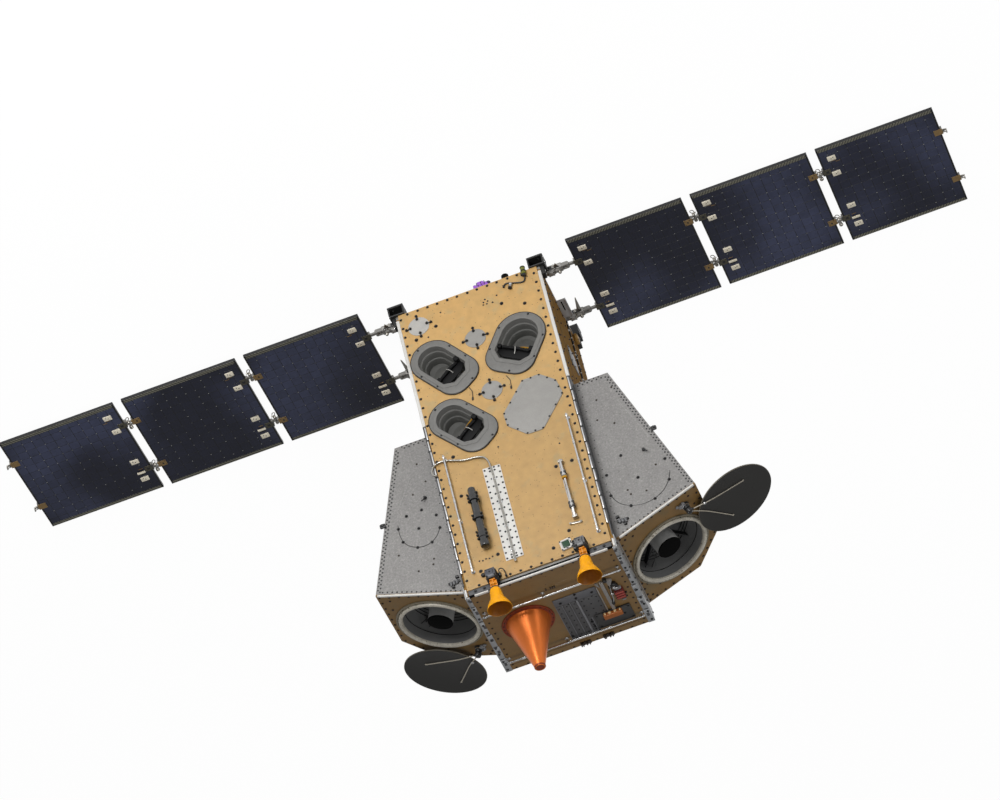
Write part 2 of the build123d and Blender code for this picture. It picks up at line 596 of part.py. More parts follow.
# ---- pods --------------------------------------------------------------------
def pod_solid(side, inset, extra):
    """Pod block with every outer wall moved in by inset and its face moved out by extra."""
    lean = atan2(POD_FACE_WIDTH * cos(TILT) - POD_TOP_WIDTH, POD_FACE_Z - POD_FACE_WIDTH * sin(TILT) - POD_TOP_Z)
    slope = POD_FACE_WIDTH
    x_out = SIDE_X + slope * cos(TILT) - inset / cos(lean)
    z_out = POD_FACE_Z - slope * sin(TILT)
    top_z = POD_TOP_Z + inset
    x_top = SIDE_X + POD_TOP_WIDTH + inset * tan(lean) - inset / cos(lean)
    x_in = SIDE_X - inset
    stretch = extra
    corners = [
        (side * x_in, top_z),
        (side * x_top, top_z),
        (side * (x_out + stretch * tan(lean)), z_out + stretch + inset * tan(TILT)),
        (side * x_in, POD_FACE_Z + stretch + inset * tan(TILT)),
    ]
    y0 = POD_FRONT_Y + inset
    depth = POD_DEPTH - 2 * inset
    outline = Plane(origin=(0, y0, 0), x_dir=(1, 0, 0), z_dir=(0, -1, 0)) * make_face(Polyline(*corners, close=True))
    solid = extrude(outline, -depth)
    edge = Vector(side * sin(lean), 0, cos(lean))
    cut = Vector(-side * POD_CHAMFER_SLOPE * cos(TILT), POD_CHAMFER_DEPTH, POD_CHAMFER_SLOPE * sin(TILT))
    normal = edge.cross(cut).normalized()
    if normal.X * side < 0:
        normal = -normal
    start = Vector(side * (SIDE_X + slope * cos(TILT)), POD_FRONT_Y + POD_DEPTH - POD_CHAMFER_DEPTH, z_out)
    tool = Plane(origin=start - normal * inset, x_dir=cut, z_dir=normal)
    return solid - tool * Box(4 * POD_DEPTH, 6 * POD_DEPTH, POD_DEPTH, align=FROM_BASE)


def pod(name, side):
    whole = pod_solid(side, 0, 0)
    slab_seat = face_plane(side, POD_FACE_WIDTH / 2, POD_FRONT_Y + POD_DEPTH / 2, -POD_FACE_THICK)
    slab = slab_seat * Box(3 * POD_FACE_WIDTH, 2 * POD_DEPTH, 4 * POD_FACE_THICK, align=FROM_BASE)
    face = whole & slab
    shell = whole - slab - pod_solid(side, POD_WALL, POD_FACE_THICK)
    seat = face_plane(side, *APERTURES[side])
    face -= seat * Cylinder(BARREL_BORE_R + BARREL_WALL + BARREL_CUT_GAP, 6 * POD_FACE_THICK)
    save(f"pod_shell_{name}", shell)
    save(f"pod_face_{name}", face)


def telescope(name, side):
    """Barrel with bezel, baffle rings and floor, and the hub on its spider."""
    outer = BARREL_BORE_R + BARREL_WALL
    body = Pos(0, 0, -BARREL_DEPTH) * Cylinder(outer, BARREL_DEPTH, align=FROM_BASE)
    body += Cylinder(BEZEL_R, BEZEL_HEIGHT, align=FROM_BASE)
    body += Cylinder(BEZEL_LIP_R, BEZEL_LIP_HEIGHT, align=FROM_BASE)
    body -= Pos(0, 0, BARREL_FLOOR - BARREL_DEPTH) * Cylinder(
        BARREL_BORE_R, BARREL_DEPTH + BEZEL_LIP_HEIGHT, align=FROM_BASE)
    for ring in range(1, BAFFLE_RINGS + 1):
        band = Cylinder(BARREL_BORE_R + 1, BAFFLE_RING_THICK, align=FROM_BASE)
        band -= Cylinder(BARREL_BORE_R - BAFFLE_RING_STEP, BAFFLE_RING_THICK, align=FROM_BASE)
        body += Pos(0, 0, -ring * BAFFLE_RING_PITCH) * band
    save(f"telescope_{name}", face_plane(side, *APERTURES[side]) * body)

    bottom = HUB_TOP - HUB_LENGTH
    hub = Pos(0, 0, bottom) * Cylinder(HUB_R, HUB_LENGTH, align=FROM_BASE)
    for turn in range(SPIDER_VANES):
        vane = Pos(BARREL_BORE_R / 2, 0, bottom) * Box(BARREL_BORE_R, SPIDER_WALL, SPIDER_DEPTH, align=FROM_BASE)
        hub += Rot(0, 0, (turn + 0.5) * 360 / SPIDER_VANES) * vane
    hub &= Pos(0, 0, bottom) * Cylinder(BARREL_BORE_R, HUB_LENGTH, align=FROM_BASE)
    hub -= Pos(0, 0, HUB_TOP - HUB_HOLLOW) * Cylinder(HUB_R - HUB_WALL, HUB_HOLLOW, align=FROM_BASE)
    save(f"telescope_hub_{name}", face_plane(side, *APERTURES[side]) * hub)


def post_place(side, arm, bearing):
    """Slope and Y of a lid post."""
    slope, y = APERTURES[side]
    turn = radians(bearing)
    return slope + arm * cos(turn), y + arm * sin(turn)


def lid(name, side, arm, bearing, open_bearing):
    """Fixed post with a pivot pin, and the round lid on its hub and two struts."""
    slope, y = post_place(side, arm, bearing)
    seat = face_plane(side, slope, y)
    post = Cylinder(POST_R, POST_HEIGHT, align=FROM_BASE)
    post += Cylinder(PIVOT_R, PIVOT_HEIGHT, align=FROM_BASE)
    save(f"lid_post_{name}", seat * post)

    top = LID_HEIGHT + LID_THICK
    disc = Pos(arm, 0, LID_HEIGHT) * Cylinder(LID_R, LID_THICK, align=FROM_BASE)
    hub = Pos(0, 0, LID_HEIGHT) * Cylinder(LID_HUB_R, LID_HUB_HEIGHT, align=FROM_BASE)
    cover = disc + hub
    for spread in (STRUT_SPREAD, -STRUT_SPREAD):
        reach = arm + STRUT_REACH
        length = sqrt(reach ** 2 + spread ** 2)
        strut = Pos(length / 2, 0, top - 1) * Box(length, STRUT_WIDTH, STRUT_THICK, align=FROM_BASE)
        cover += Rot(0, 0, degrees(atan2(spread, reach))) * strut
    cover -= Cylinder(PIVOT_R + PIVOT_GAP, 4 * PIVOT_HEIGHT)
    save(f"lid_{name}", seat * Rot(0, 0, side * open_bearing) * cover)


# ---- wings -------------------------------------------------------------------
def knuckle(x, y, z, width, radius):
    return rod((x, y - width / 2, z), (x, y + width / 2, z), radius)


def root_arms(name, side):
    """Two arms under the base panel that carry the wing's root hinge."""
    arms = []
    ear_y = ROOT_TONGUE_WIDTH / 2 + EAR_GAP
    for y in (WING_Y - HINGE_OFFSET_Y, WING_Y + HINGE_OFFSET_Y):
        arm = block(side * ARM_ROOT_X, side * ARM_END_X, y - ARM_WIDTH / 2, y + ARM_WIDTH / 2,
                    WING_Z - ARM_HEIGHT / 2, WING_Z + ARM_HEIGHT / 2)
        arm += block(side * ARM_ROOT_X, side * SIDE_X, y - ARM_WIDTH / 2, y + ARM_WIDTH / 2, WING_Z, BASE_Z)
        for end in (-1, 1):
            middle = y + end * (ear_y + ROOT_EAR_WIDTH / 2)
            arm += knuckle(side * ROOT_X, middle, WING_Z, ROOT_EAR_WIDTH, ROOT_KNUCKLE_R)
            arm += block(side * (ARM_END_X - 2), side * ROOT_X, middle - ROOT_EAR_WIDTH / 2, middle + ROOT_EAR_WIDTH / 2,
                         WING_Z - ROOT_KNUCKLE_R, WING_Z + ROOT_KNUCKLE_R)
        arm -= knuckle(side * ROOT_X, y, WING_Z, 2 * ARM_WIDTH, ROOT_PIN_R + PIN_GAP)
        arms.append(arm)
    save(f"wing_arms_{name}", *arms)


def panel_plate(x0):
    """Panel with its two edge rails and its pads, for the +X wing."""
    x1 = x0 + PANEL_LENGTH
    y0, y1 = WING_Y - PANEL_CHORD / 2, WING_Y + PANEL_CHORD / 2
    low, high = WING_Z - PANEL_THICK / 2, WING_Z + PANEL_THICK / 2
    plate = block(x0, x1, y0, y1, low, high)
    for ya, yb in ((y0, y0 + PANEL_RAIL_WIDTH), (y1 - PANEL_RAIL_WIDTH, y1)):
        plate += block(x0, x1, ya, yb, low - PANEL_RAIL_PROUD, high + PANEL_RAIL_PROUD)
    for inward, across in PADS:
        plate += Pos(x0 + inward, WING_Y + across, high) * Box(PAD_SIZE, PAD_SIZE, PAD_THICK, align=FROM_BASE)
    return plate


def end_block(edge, outward, y, axis_z):
    """Leaf on the panel's top face and block on its end, on the side away from the fold."""
    high = WING_Z + PANEL_THICK / 2
    fitting = block(edge, edge - outward * LEAF_LENGTH, y - LEAF_WIDTH / 2, y + LEAF_WIDTH / 2, high, high + LEAF_THICK)
    fitting += block(edge, edge + outward * HINGE_BLOCK, y - LEAF_WIDTH / 2, y + LEAF_WIDTH / 2,
                     WING_Z - HINGE_BLOCK_RISE, high + LEAF_THICK)
    return fitting


def ears(edge, outward, y, axis_z):
    """Two ears from a panel's outer end block to the hinge axis."""
    axis_x = edge + outward * PANEL_GAP / 2
    shapes = None
    for end in (-1, 1):
        middle = y + end * (TONGUE_WIDTH / 2 + EAR_GAP + EAR_WIDTH / 2)
        ear = knuckle(axis_x, middle, axis_z, EAR_WIDTH, KNUCKLE_R)
        ear += block(edge + outward * (HINGE_BLOCK - 1), axis_x, middle - EAR_WIDTH / 2, middle + EAR_WIDTH / 2,
                     axis_z, axis_z + (WING_Z - axis_z) * 0.8)
        shapes = ear if shapes is None else shapes + ear
    return shapes - knuckle(axis_x, y, axis_z, 3 * LEAF_WIDTH, PIN_R + PIN_GAP)


def tongue(edge, outward, y, axis_z):
    """Tongue with its pin from a panel's inner end block to the hinge axis."""
    axis_x = edge + outward * PANEL_GAP / 2
    shape = knuckle(axis_x, y, axis_z, TONGUE_WIDTH, KNUCKLE_R)
    shape += block(edge + outward * (HINGE_BLOCK - 1), axis_x, y - TONGUE_WIDTH / 2, y + TONGUE_WIDTH / 2,
                   axis_z, axis_z + (WING_Z - axis_z) * 0.8)
    pin_width = TONGUE_WIDTH + 2 * (EAR_GAP + EAR_WIDTH)
    return shape + knuckle(axis_x, y, axis_z, pin_width, PIN_R)


def root_tongue(edge, y):
    """Tongue with its pin from the first panel to the root axis."""
    shape = knuckle(ROOT_X, y, WING_Z, ROOT_TONGUE_WIDTH, ROOT_KNUCKLE_R)
    shape += block(ROOT_X, edge - HINGE_BLOCK + 1, y - ROOT_TONGUE_WIDTH / 2, y + ROOT_TONGUE_WIDTH / 2,
                   WING_Z - ROOT_KNUCKLE_R / 2, WING_Z + ROOT_KNUCKLE_R / 2)
    pin_width = ROOT_TONGUE_WIDTH + 2 * (EAR_GAP + ROOT_EAR_WIDTH)
    return shape + knuckle(ROOT_X, y, WING_Z, pin_width, ROOT_PIN_R)


def hook(edge, y):
    """Latch hook on the last panel's outer end."""
    high = WING_Z + PANEL_THICK / 2
    arm = block(edge + HINGE_BLOCK - 1, edge + HOOK_REACH, y - HOOK_BAR / 2, y + HOOK_BAR / 2, high - HOOK_BAR, high)
    tip = block(edge + HOOK_REACH - HOOK_BAR, edge + HOOK_REACH, y - HOOK_BAR / 2, y + HOOK_BAR / 2, high - 1, WING_Z + HOOK_RISE)
    return arm + tip


def wing(name, side):
    root_arms(name, side)
    for number in range(PANELS):
        x0 = PANEL_START_X + number * PANEL_PITCH
        x1 = x0 + PANEL_LENGTH
        inner_z = WING_Z - HINGE_DROP if number == 1 else WING_Z + HINGE_DROP
        outer_z = WING_Z - HINGE_DROP if number == 0 else WING_Z + HINGE_DROP
        plate = panel_plate(x0)
        fittings = []
        for y in (WING_Y - HINGE_OFFSET_Y, WING_Y + HINGE_OFFSET_Y):
            inner = end_block(x0, -1, y, inner_z)
            inner += root_tongue(x0, y) if number == 0 else tongue(x0, -1, y, inner_z)
            outer = end_block(x1, 1, y, outer_z)
            outer += hook(x1, y) if number == PANELS - 1 else ears(x1, 1, y, outer_z)
            fittings += [inner, outer]
        if side < 0:
            plate = mirror(plate, about=Plane.YZ)
            fittings = [mirror(piece, about=Plane.YZ) for piece in fittings]
        save(f"wing_{name}_panel_{number + 1}", plate)
        save(f"wing_{name}_hinges_{number + 1}", *fittings)


# ---- small units -------------------------------------------------------------
def small_units():
    boxed = block(PURPLE_X - PURPLE_WIDTH / 2, PURPLE_X + PURPLE_WIDTH / 2, PURPLE_Y, PURPLE_Y + PURPLE_DEPTH,
                  BASE_Z - PURPLE_HEIGHT, BASE_Z)
    save("purple_unit", boxed)
    stub = rod((STUB_X, PURPLE_Y + STUB_R, BASE_Z), (STUB_X, PURPLE_Y + STUB_R, BASE_Z - STUB_HEIGHT), STUB_R)
    plug_y = FRONT_Y - PLUG_R
    plug = rod((PLUG_X, plug_y, PLUG_Z0), (PLUG_X, plug_y, PLUG_Z1), PLUG_R)
    wire = bent_tube(WIRE_ROUTE, FRONT_Y - WIRE_R, WIRE_R, WIRE_BEND)
    save("base_connectors", stub, plug, wire)
    x = -SIDE_X
    fin = block(x, x - FIN_REACH, FIN_Y0, FIN_Y1, FIN_Z, FIN_Z + FIN_THICK)
    box = block(x, x - SIDE_BOX_REACH, SIDE_BOX_Y - SIDE_BOX_SIZE / 2, SIDE_BOX_Y + SIDE_BOX_SIZE / 2,
                SIDE_BOX_Z - SIDE_BOX_SIZE / 2, SIDE_BOX_Z + SIDE_BOX_SIZE / 2)
    cable = rod((x - CABLE_R, CABLE_Y, CABLE_Z0), (x - CABLE_R, CABLE_Y, CABLE_Z1), CABLE_R)
    save("side_units", fin, box, cable)


def main():
    os.makedirs("parts", exist_ok=True)
    bus()
    feet()
    for name, x, z, angle, length, width in TRACKERS:
        save(name, front_plane(x, z, angle=angle) * tracker(length, width))
    covers()
    front_fittings()
    handrails()
    horns()
    cone()
    deck_units()
    for name, side in SIDES:
        pod(name, side)
        telescope(name, side)
        wing(name, side)
    for name, arm, bearing, open_bearing in LIDS:
        lid(name, dict(SIDES)[name], arm, bearing, open_bearing)
    small_units()


main()
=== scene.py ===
"""Observation satellite: finishes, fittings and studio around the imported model."""
import json
from math import cos, pi, radians, sin

import bpy
import numpy as np
from mathutils import Matrix

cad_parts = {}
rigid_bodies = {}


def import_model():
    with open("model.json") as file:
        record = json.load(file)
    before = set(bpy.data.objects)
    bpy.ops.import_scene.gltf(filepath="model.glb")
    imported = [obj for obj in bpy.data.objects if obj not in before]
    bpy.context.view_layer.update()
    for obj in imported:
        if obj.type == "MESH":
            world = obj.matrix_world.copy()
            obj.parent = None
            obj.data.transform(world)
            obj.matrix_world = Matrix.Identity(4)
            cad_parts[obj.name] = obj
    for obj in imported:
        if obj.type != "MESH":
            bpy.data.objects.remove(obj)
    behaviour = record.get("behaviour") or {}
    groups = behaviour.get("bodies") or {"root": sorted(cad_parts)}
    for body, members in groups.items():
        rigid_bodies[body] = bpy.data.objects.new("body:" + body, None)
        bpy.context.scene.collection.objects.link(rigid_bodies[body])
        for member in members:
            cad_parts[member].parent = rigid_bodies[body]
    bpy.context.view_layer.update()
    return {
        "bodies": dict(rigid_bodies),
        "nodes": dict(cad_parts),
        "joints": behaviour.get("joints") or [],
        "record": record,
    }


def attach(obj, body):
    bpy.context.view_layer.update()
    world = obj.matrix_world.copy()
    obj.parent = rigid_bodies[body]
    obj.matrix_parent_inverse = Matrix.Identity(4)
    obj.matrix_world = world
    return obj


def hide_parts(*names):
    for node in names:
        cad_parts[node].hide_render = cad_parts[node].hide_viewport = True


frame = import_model()
nodes = frame["nodes"]
SIDES = (("right", 1), ("left", -1))

# ---- camera ----
FOCAL_LENGTH = 213.36
CAMERA_AT = (-4.4294, -31.6287, 24.9619)
# columns of the view: its right, its down, its direction
CAMERA_ROWS = (
    (-0.935838, 0.288005, 0.203127),
    (0.334385, 0.543538, 0.769904),
    (0.111329, 0.788428, -0.604968),
)


def placed(across, up, back, place):
    """Matrix whose X, Y and Z axes are the three given ones, with its origin at place."""
    rows = [[float(across[row]), float(up[row]), float(back[row]), place[row]] for row in range(3)]
    return Matrix([*rows, [0, 0, 0, 1]])


def make_camera():
    """Camera whose axes are the three rows: right, minus down, minus forward."""
    lens = bpy.data.cameras.new("camera")
    lens.lens = FOCAL_LENGTH
    lens.sensor_fit = "HORIZONTAL"
    lens.sensor_width = 36.0
    lens.clip_end = 200.0
    right, down, forward = (np.array(row) for row in CAMERA_ROWS)
    camera = bpy.data.objects.new("camera", lens)
    camera.matrix_world = placed(right, -down, -forward, CAMERA_AT)
    bpy.context.scene.collection.objects.link(camera)
    bpy.context.scene.camera = camera


make_camera()
bpy.context.scene.view_settings.view_transform = "Standard"


# ---- shader values ----
class Value:
    """A shader value: arithmetic on it, from either side, adds Math nodes."""

    def __init__(self, finish, socket):
        self.finish = finish
        self.socket = socket

    def math(self, operation, *inputs):
        return self.finish.node("ShaderNodeMath", {"operation": operation}, dict(enumerate(inputs)))

    def __add__(self, other):
        return self.math("ADD", self, other)

    def __radd__(self, other):
        return self.math("ADD", other, self)

    def __sub__(self, other):
        return self.math("SUBTRACT", self, other)

    def __rsub__(self, other):
        return self.math("SUBTRACT", other, self)

    def __mul__(self, other):
        return self.math("MULTIPLY", self, other)

    def __rmul__(self, other):
        return self.math("MULTIPLY", other, self)

    def __truediv__(self, other):
        return self.math("DIVIDE", self, other)

    def __mod__(self, other):
        return self.math("FLOORED_MODULO", self, other)

    def __pow__(self, other):
        return self.math("POWER", self, other)

    def __abs__(self):
        return self.math("ABSOLUTE", self)

    def least(self, other):
        return self.math("MINIMUM", self, other)

    def most(self, other):
        return self.math("MAXIMUM", self, other)

    def floor(self):
        return self.math("FLOOR", self)

    def fade(self, low, high):
        """0 below low, 1 above high, with a soft step between."""
        return self.finish.node("ShaderNodeMapRange", {"interpolation_type": "SMOOTHSTEP"},
            {"Value": self, "From Min": low, "From Max": high})


class Finish:
    """A material in the making: node() adds any node and surface() closes it."""

    def __init__(self, name):
        self.material = bpy.data.materials.new(name)
        self.material.use_nodes = True
        self.tree = self.material.node_tree
        self.tree.nodes.clear()
        self.place = self.node("ShaderNodeTexCoord", {}, {}, "Object")

    def node(self, kind, settings, sockets, output=0):
        """One node: its settings first, then the values or links of its sockets."""
        new = self.tree.nodes.new(kind)
        for key, value in settings.items():
            if key == "stops":
                ramp = new.color_ramp.elements
                while len(ramp) < len(value):
                    ramp.new(1.0)
                for stop, (at, color) in zip(ramp, value):
                    stop.position, stop.color = at, color
            else:
                setattr(new, key, value)
        for key, value in sockets.items():
            if isinstance(value, Value):
                self.tree.links.new(value.socket, new.inputs[key])
            else:
                new.inputs[key].default_value = value
        return Value(self, new.outputs[output]) if len(new.outputs) else None

    def axis(self, letter):
        return self.node("ShaderNodeSeparateXYZ", {}, {0: self.place}, "XYZ".index(letter))

    def moved(self, scale=(1, 1, 1), shift=(0, 0, 0), turn=(0, 0, 0)):
        return self.node("ShaderNodeMapping", {}, {"Vector": self.place, "Location": shift, "Rotation": turn,
            "Scale": scale})

    def noise(self, size, detail=2.0, stretch=(1, 1, 1), shift=(0, 0, 0)):
        """Soft noise from 0 to 1 whose patches are about size metres across."""
        where = self.moved(stretch, shift)
        return self.node("ShaderNodeTexNoise", {}, {"Vector": where, "Scale": 1.0 / size, "Detail": detail})

    def specks(self, size, stretch=(1, 1, 1)):
        """Distance to the nearest of scattered points, 0 to about 1, size metres apart."""
        where = self.moved(stretch)
        return self.node("ShaderNodeTexVoronoi", {}, {"Vector": where, "Scale": 1.0 / size})

    def mix(self, first, second, factor):
        return self.node("ShaderNodeMix", {"data_type": "RGBA"}, {0: factor, 6: first, 7: second}, 2)

    def scaled(self, color, factor):
        """A colour times a number."""
        first = color if isinstance(color, Value) else color[:3]
        return self.node("ShaderNodeVectorMath", {"operation": "SCALE"}, {0: first, 3: factor})

    def bump(self, height, distance, strength=1.0):
        return self.node("ShaderNodeBump", {}, {"Height": height, "Distance": distance, "Strength": strength})

    def surface(self, color, roughness, metallic=0.0, normal=None, **fixed):
        sockets = {"Base Color": color, "Roughness": roughness, "Metallic": metallic}
        sockets.update({key.replace("_", " "): value for key, value in fixed.items()})
        if normal is not None:
            sockets["Normal"] = normal
        shader = self.node("ShaderNodeBsdfPrincipled", {}, sockets)
        self.node("ShaderNodeOutputMaterial", {}, {"Surface": shader})
        return self.material


def rgb(red, green, blue):
    """Linear colour from screen values of 0 to 255."""
    linear = ((np.array((red, green, blue)) / 255 + 0.055) / 1.055) ** 2.4
    return (*(float(part) for part in linear), 1.0)


# ---- finishes ----
def coated(name, color, rough=0.5, metallic=0.0, mottle=0.08, patch=0.12, grain=0.05, speck=0.004, bump=0.0002,
        worn=None, wear=0.0, **fixed):
    """Even coat: colour times 1 + mottle and grain noise, with specks worn through to a second colour."""
    f = Finish(name)
    soft = f.noise(patch, 3.0)
    fine = f.noise(speck, 2.0)
    level = 1 + mottle * 2 * (soft - 0.5) + grain * 2 * (fine - 0.5)
    shade = f.scaled(color, level)
    if worn:
        spots = f.noise(speck * 3, 4.0).fade(0.72 - wear, 0.8 - wear)
        shade = f.mix(shade, worn, spots)
    gloss = rough + 0.12 * (soft - 0.5) + 0.1 * (fine - 0.5)
    return f.surface(shade, gloss, metallic, f.bump(fine, bump), **fixed)


def tan_panel(name, color, streak=0.05, painted_light_rise=0.0, coat=0.12, shine=0.5, rough=0.42):
    """Warm panel coat: broad clouds, faint long streaks along Z and a fine tooth."""
    f = Finish(name)
    cloud = f.noise(0.35, 3.0)
    blotch = f.noise(0.06, 3.0)
    run = f.noise(0.05, 2.0, stretch=(1, 1, 0.08))
    tooth = f.noise(0.0035, 2.0)
    level = 1 + 0.14 * (cloud - 0.5) + 0.32 * (blotch - 0.5) + streak * (run - 0.5) + 0.12 * (tooth - 0.5)
    # painted light: the lower part of the panel is brightened by the given share, fading out between 0.55 m and
    # 1.35 m up
    level = level * (1 + painted_light_rise * (1 - f.axis("Z").fade(0.55, 1.35)))
    warm = f.mix(f.scaled(color, level), f.scaled((color[0] * 0.97, color[1] * 0.9, color[2] * 0.8), level),
        cloud)
    stain = f.noise(0.1, 4.0).fade(0.54, 0.74)
    warm = f.mix(warm, f.scaled((color[0] * 0.8, color[1] * 0.93, color[2] * 1.16), level), 0.75 * stain)
    dots = 1 - f.specks(0.03).fade(0.075, 0.115)
    warm = f.mix(warm, rgb(74, 52, 30), 0.75 * dots)
    return f.surface(warm, rough + 0.14 * (blotch - 0.5) + 0.1 * (tooth - 0.5), 0.0,
        f.bump(tooth + 0.6 * blotch, 0.0003), Coat_Weight=coat, Coat_Roughness=0.35, Specular_IOR_Level=shine)


def speckled_grey(name, color):
    """Pod coat: mid grey with fine light and dark flecks, cloudy patches and rubbed streaks."""
    f = Finish(name)
    cloud = f.noise(0.22, 4.0)
    fleck = f.noise(0.012, 4.0)
    fine = f.noise(0.004, 2.0)
    rub = f.noise(0.05, 3.0, stretch=(1, 1, 0.25))
    level = 1 + 0.22 * (cloud - 0.5) + 0.8 * (fleck - 0.5) + 0.5 * (fine - 0.5) + 0.2 * (rub - 0.5)
    shade = f.scaled(color, level)
    shade = f.mix(shade, rgb(178, 174, 168), 0.4 * fleck.fade(0.6, 0.72))
    shade = f.mix(shade, rgb(92, 88, 84), 0.35 * f.noise(0.018, 4.0).fade(0.6, 0.72))
    return f.surface(shade, 0.5 + 0.2 * (fleck - 0.5), 0.0, f.bump(fine + fleck, 0.0003))


def brushed(name, color, rough=0.3, along="Z", metallic=1.0):
    """Bare metal: fine grain drawn out along one axis, with cloudy gloss."""
    f = Finish(name)
    stretch = [1.0 if letter != along else 0.04 for letter in "XYZ"]
    grain = f.noise(0.002, 2.0, stretch=stretch)
    cloud = f.noise(0.03, 3.0)
    shade = f.scaled(color, 1 + 0.2 * (grain - 0.5) + 0.2 * (cloud - 0.5))
    return f.surface(shade, rough + 0.16 * (cloud - 0.5) + 0.1 * (grain - 0.5), metallic, f.bump(grain, 0.0001))


def solar_cells(name, side, first_x):
    """Cell grid: thin dark gaps at even pitch, bright dots where cells meet, faint grid lines, hatched edge."""
    f = Finish(name)
    x, y = f.axis("X") * side - first_x, f.axis("Y") - PANEL_Y0
    across = y / CELL_Y
    along = x / CELL_X
    edge_x = abs((along + 0.5) % 1.0 - 0.5) * CELL_X
    edge_y = abs((across + 0.5) % 1.0 - 0.5) * CELL_Y
    line = 1 - edge_x.least(edge_y).fade(0.0008, 0.0028)
    corner = (edge_x * edge_x + edge_y * edge_y) ** 0.5
    pick = f.noise(0.03, 0.0)
    dot = (1 - corner.fade(0.0022, 0.0048)) * pick.fade(0.36, 0.62)
    cell = f.node("ShaderNodeTexWhiteNoise", {"noise_dimensions": "2D"},
        {"Vector": f.node("ShaderNodeCombineXYZ", {}, {0: along.floor(), 1: across.floor()})})
    # painted reflection: broad lighter blue patches standing in for a sheen on the cells
    painted_sheen = f.noise(0.9, 1.0, stretch=(1, 0.7, 1)).fade(0.42, 0.68)
    cloud = f.noise(0.04, 3.0)
    fine = f.noise(0.004, 2.0)
    navy = f.mix(rgb(28, 31, 50), rgb(64, 70, 98), painted_sheen)
    navy = f.scaled(navy, 0.86 + 0.24 * cell + 0.5 * (cloud - 0.5) + 0.3 * (fine - 0.5))
    bus_bar = 1 - abs((along * 3) % 1.0 - 0.5).fade(0.0, 0.03)
    navy = f.mix(navy, rgb(66, 72, 88), 0.16 * bus_bar)
    dash = f.noise(0.022, 1.0).fade(0.4, 0.55)
    navy = f.mix(navy, rgb(6, 7, 10), 0.4 * line + 0.6 * line * dash)
    navy = f.mix(navy, rgb(176, 176, 172), dot)
    rim = y.least(PANEL_CHORD - y)
    strip = 1 - rim.fade(0.0295, 0.0305)
    hatch = abs((x * 1.0 + y * 0.6) * 48.0 % 1.0 - 0.5).fade(0.06, 0.26)
    grey = f.mix(rgb(50, 48, 42), rgb(128, 126, 112), hatch)
    grey = f.scaled(grey, 0.9 + 0.3 * (cloud - 0.5) + 0.2 * (fine - 0.5))
    face = f.mix(navy, grey, strip)
    ends = 1 - x.least(PANEL_LENGTH - x).fade(0.011, 0.013)
    face = f.mix(face, rgb(22, 22, 23), ends)
    top = f.axis("Z").fade(PANEL_TOP - 0.0006, PANEL_TOP - 0.0002)
    under = 1 - f.axis("Z").fade(PANEL_UNDER + 0.0002, PANEL_UNDER + 0.0006)
    weave = (((x + y) * 90.0) % 1.0).fade(0.3, 0.7) * (((x - y) * 90.0) % 1.0).fade(0.3, 0.7)
    carbon = f.mix(rgb(24, 24, 26), rgb(38, 38, 41), weave)
    face = f.mix(rgb(20, 20, 21), face, top)
    face = f.mix(face, f.scaled(carbon, 0.8 + 0.4 * cloud), under)
    lift = f.axis("Z").fade(PANEL_TOP + 0.0025, PANEL_TOP + 0.003)
    fleck = f.specks(0.016).fade(0.18, 0.3)
    pad = f.mix(rgb(126, 92, 58), f.scaled(rgb(226, 214, 192), 0.9 + 0.3 * (cloud - 0.5)), fleck)
    inside = y.least(PANEL_CHORD - y).fade(0.032, 0.033)
    half_pad = abs(y - 0.812).fade(0.0105, 0.0115) * (1 - abs(y - 0.817).fade(0.0275, 0.0285))
    pad = f.mix(pad, rgb(20, 19, 19), half_pad)
    face = f.mix(face, pad, lift * inside)
    gloss = 0.24 + 0.5 * strip + 0.3 * lift * inside + 0.12 * (cloud - 0.5)
    height = line * -1.0 + 0.05 * fine
    return f.surface(face, gloss.least(0.9), 0.0, f.bump(height, 0.0005), Specular_IOR_Level=0.45)


def recess_painted_shade(name, rim, inner, floor_y, top_y=-0.483):
    """Grey on the outside, with painted shade that darkens it with depth behind the front face, along Y."""
    f = Finish(name)
    y = f.axis("Y")
    recess_shade = y.fade(top_y, floor_y)
    cloud = f.noise(0.03, 3.0)
    fine = f.noise(0.004, 2.0)
    shade = f.scaled(f.mix(rim, inner, recess_shade), 1 + 0.3 * (cloud - 0.5) + 0.2 * (fine - 0.5))
    return f.surface(shade, 0.5 + 0.15 * (cloud - 0.5), 0.0, f.bump(fine, 0.0002))


CELL_X, CELL_Y = 0.0693, 0.0808
PANEL_Y0, PANEL_CHORD, PANEL_LENGTH = -0.573, 1.05, 0.832
PANEL_TOP, PANEL_UNDER = 0.05, 0.03
PANEL_START, PANEL_PITCH = 0.75, 0.894

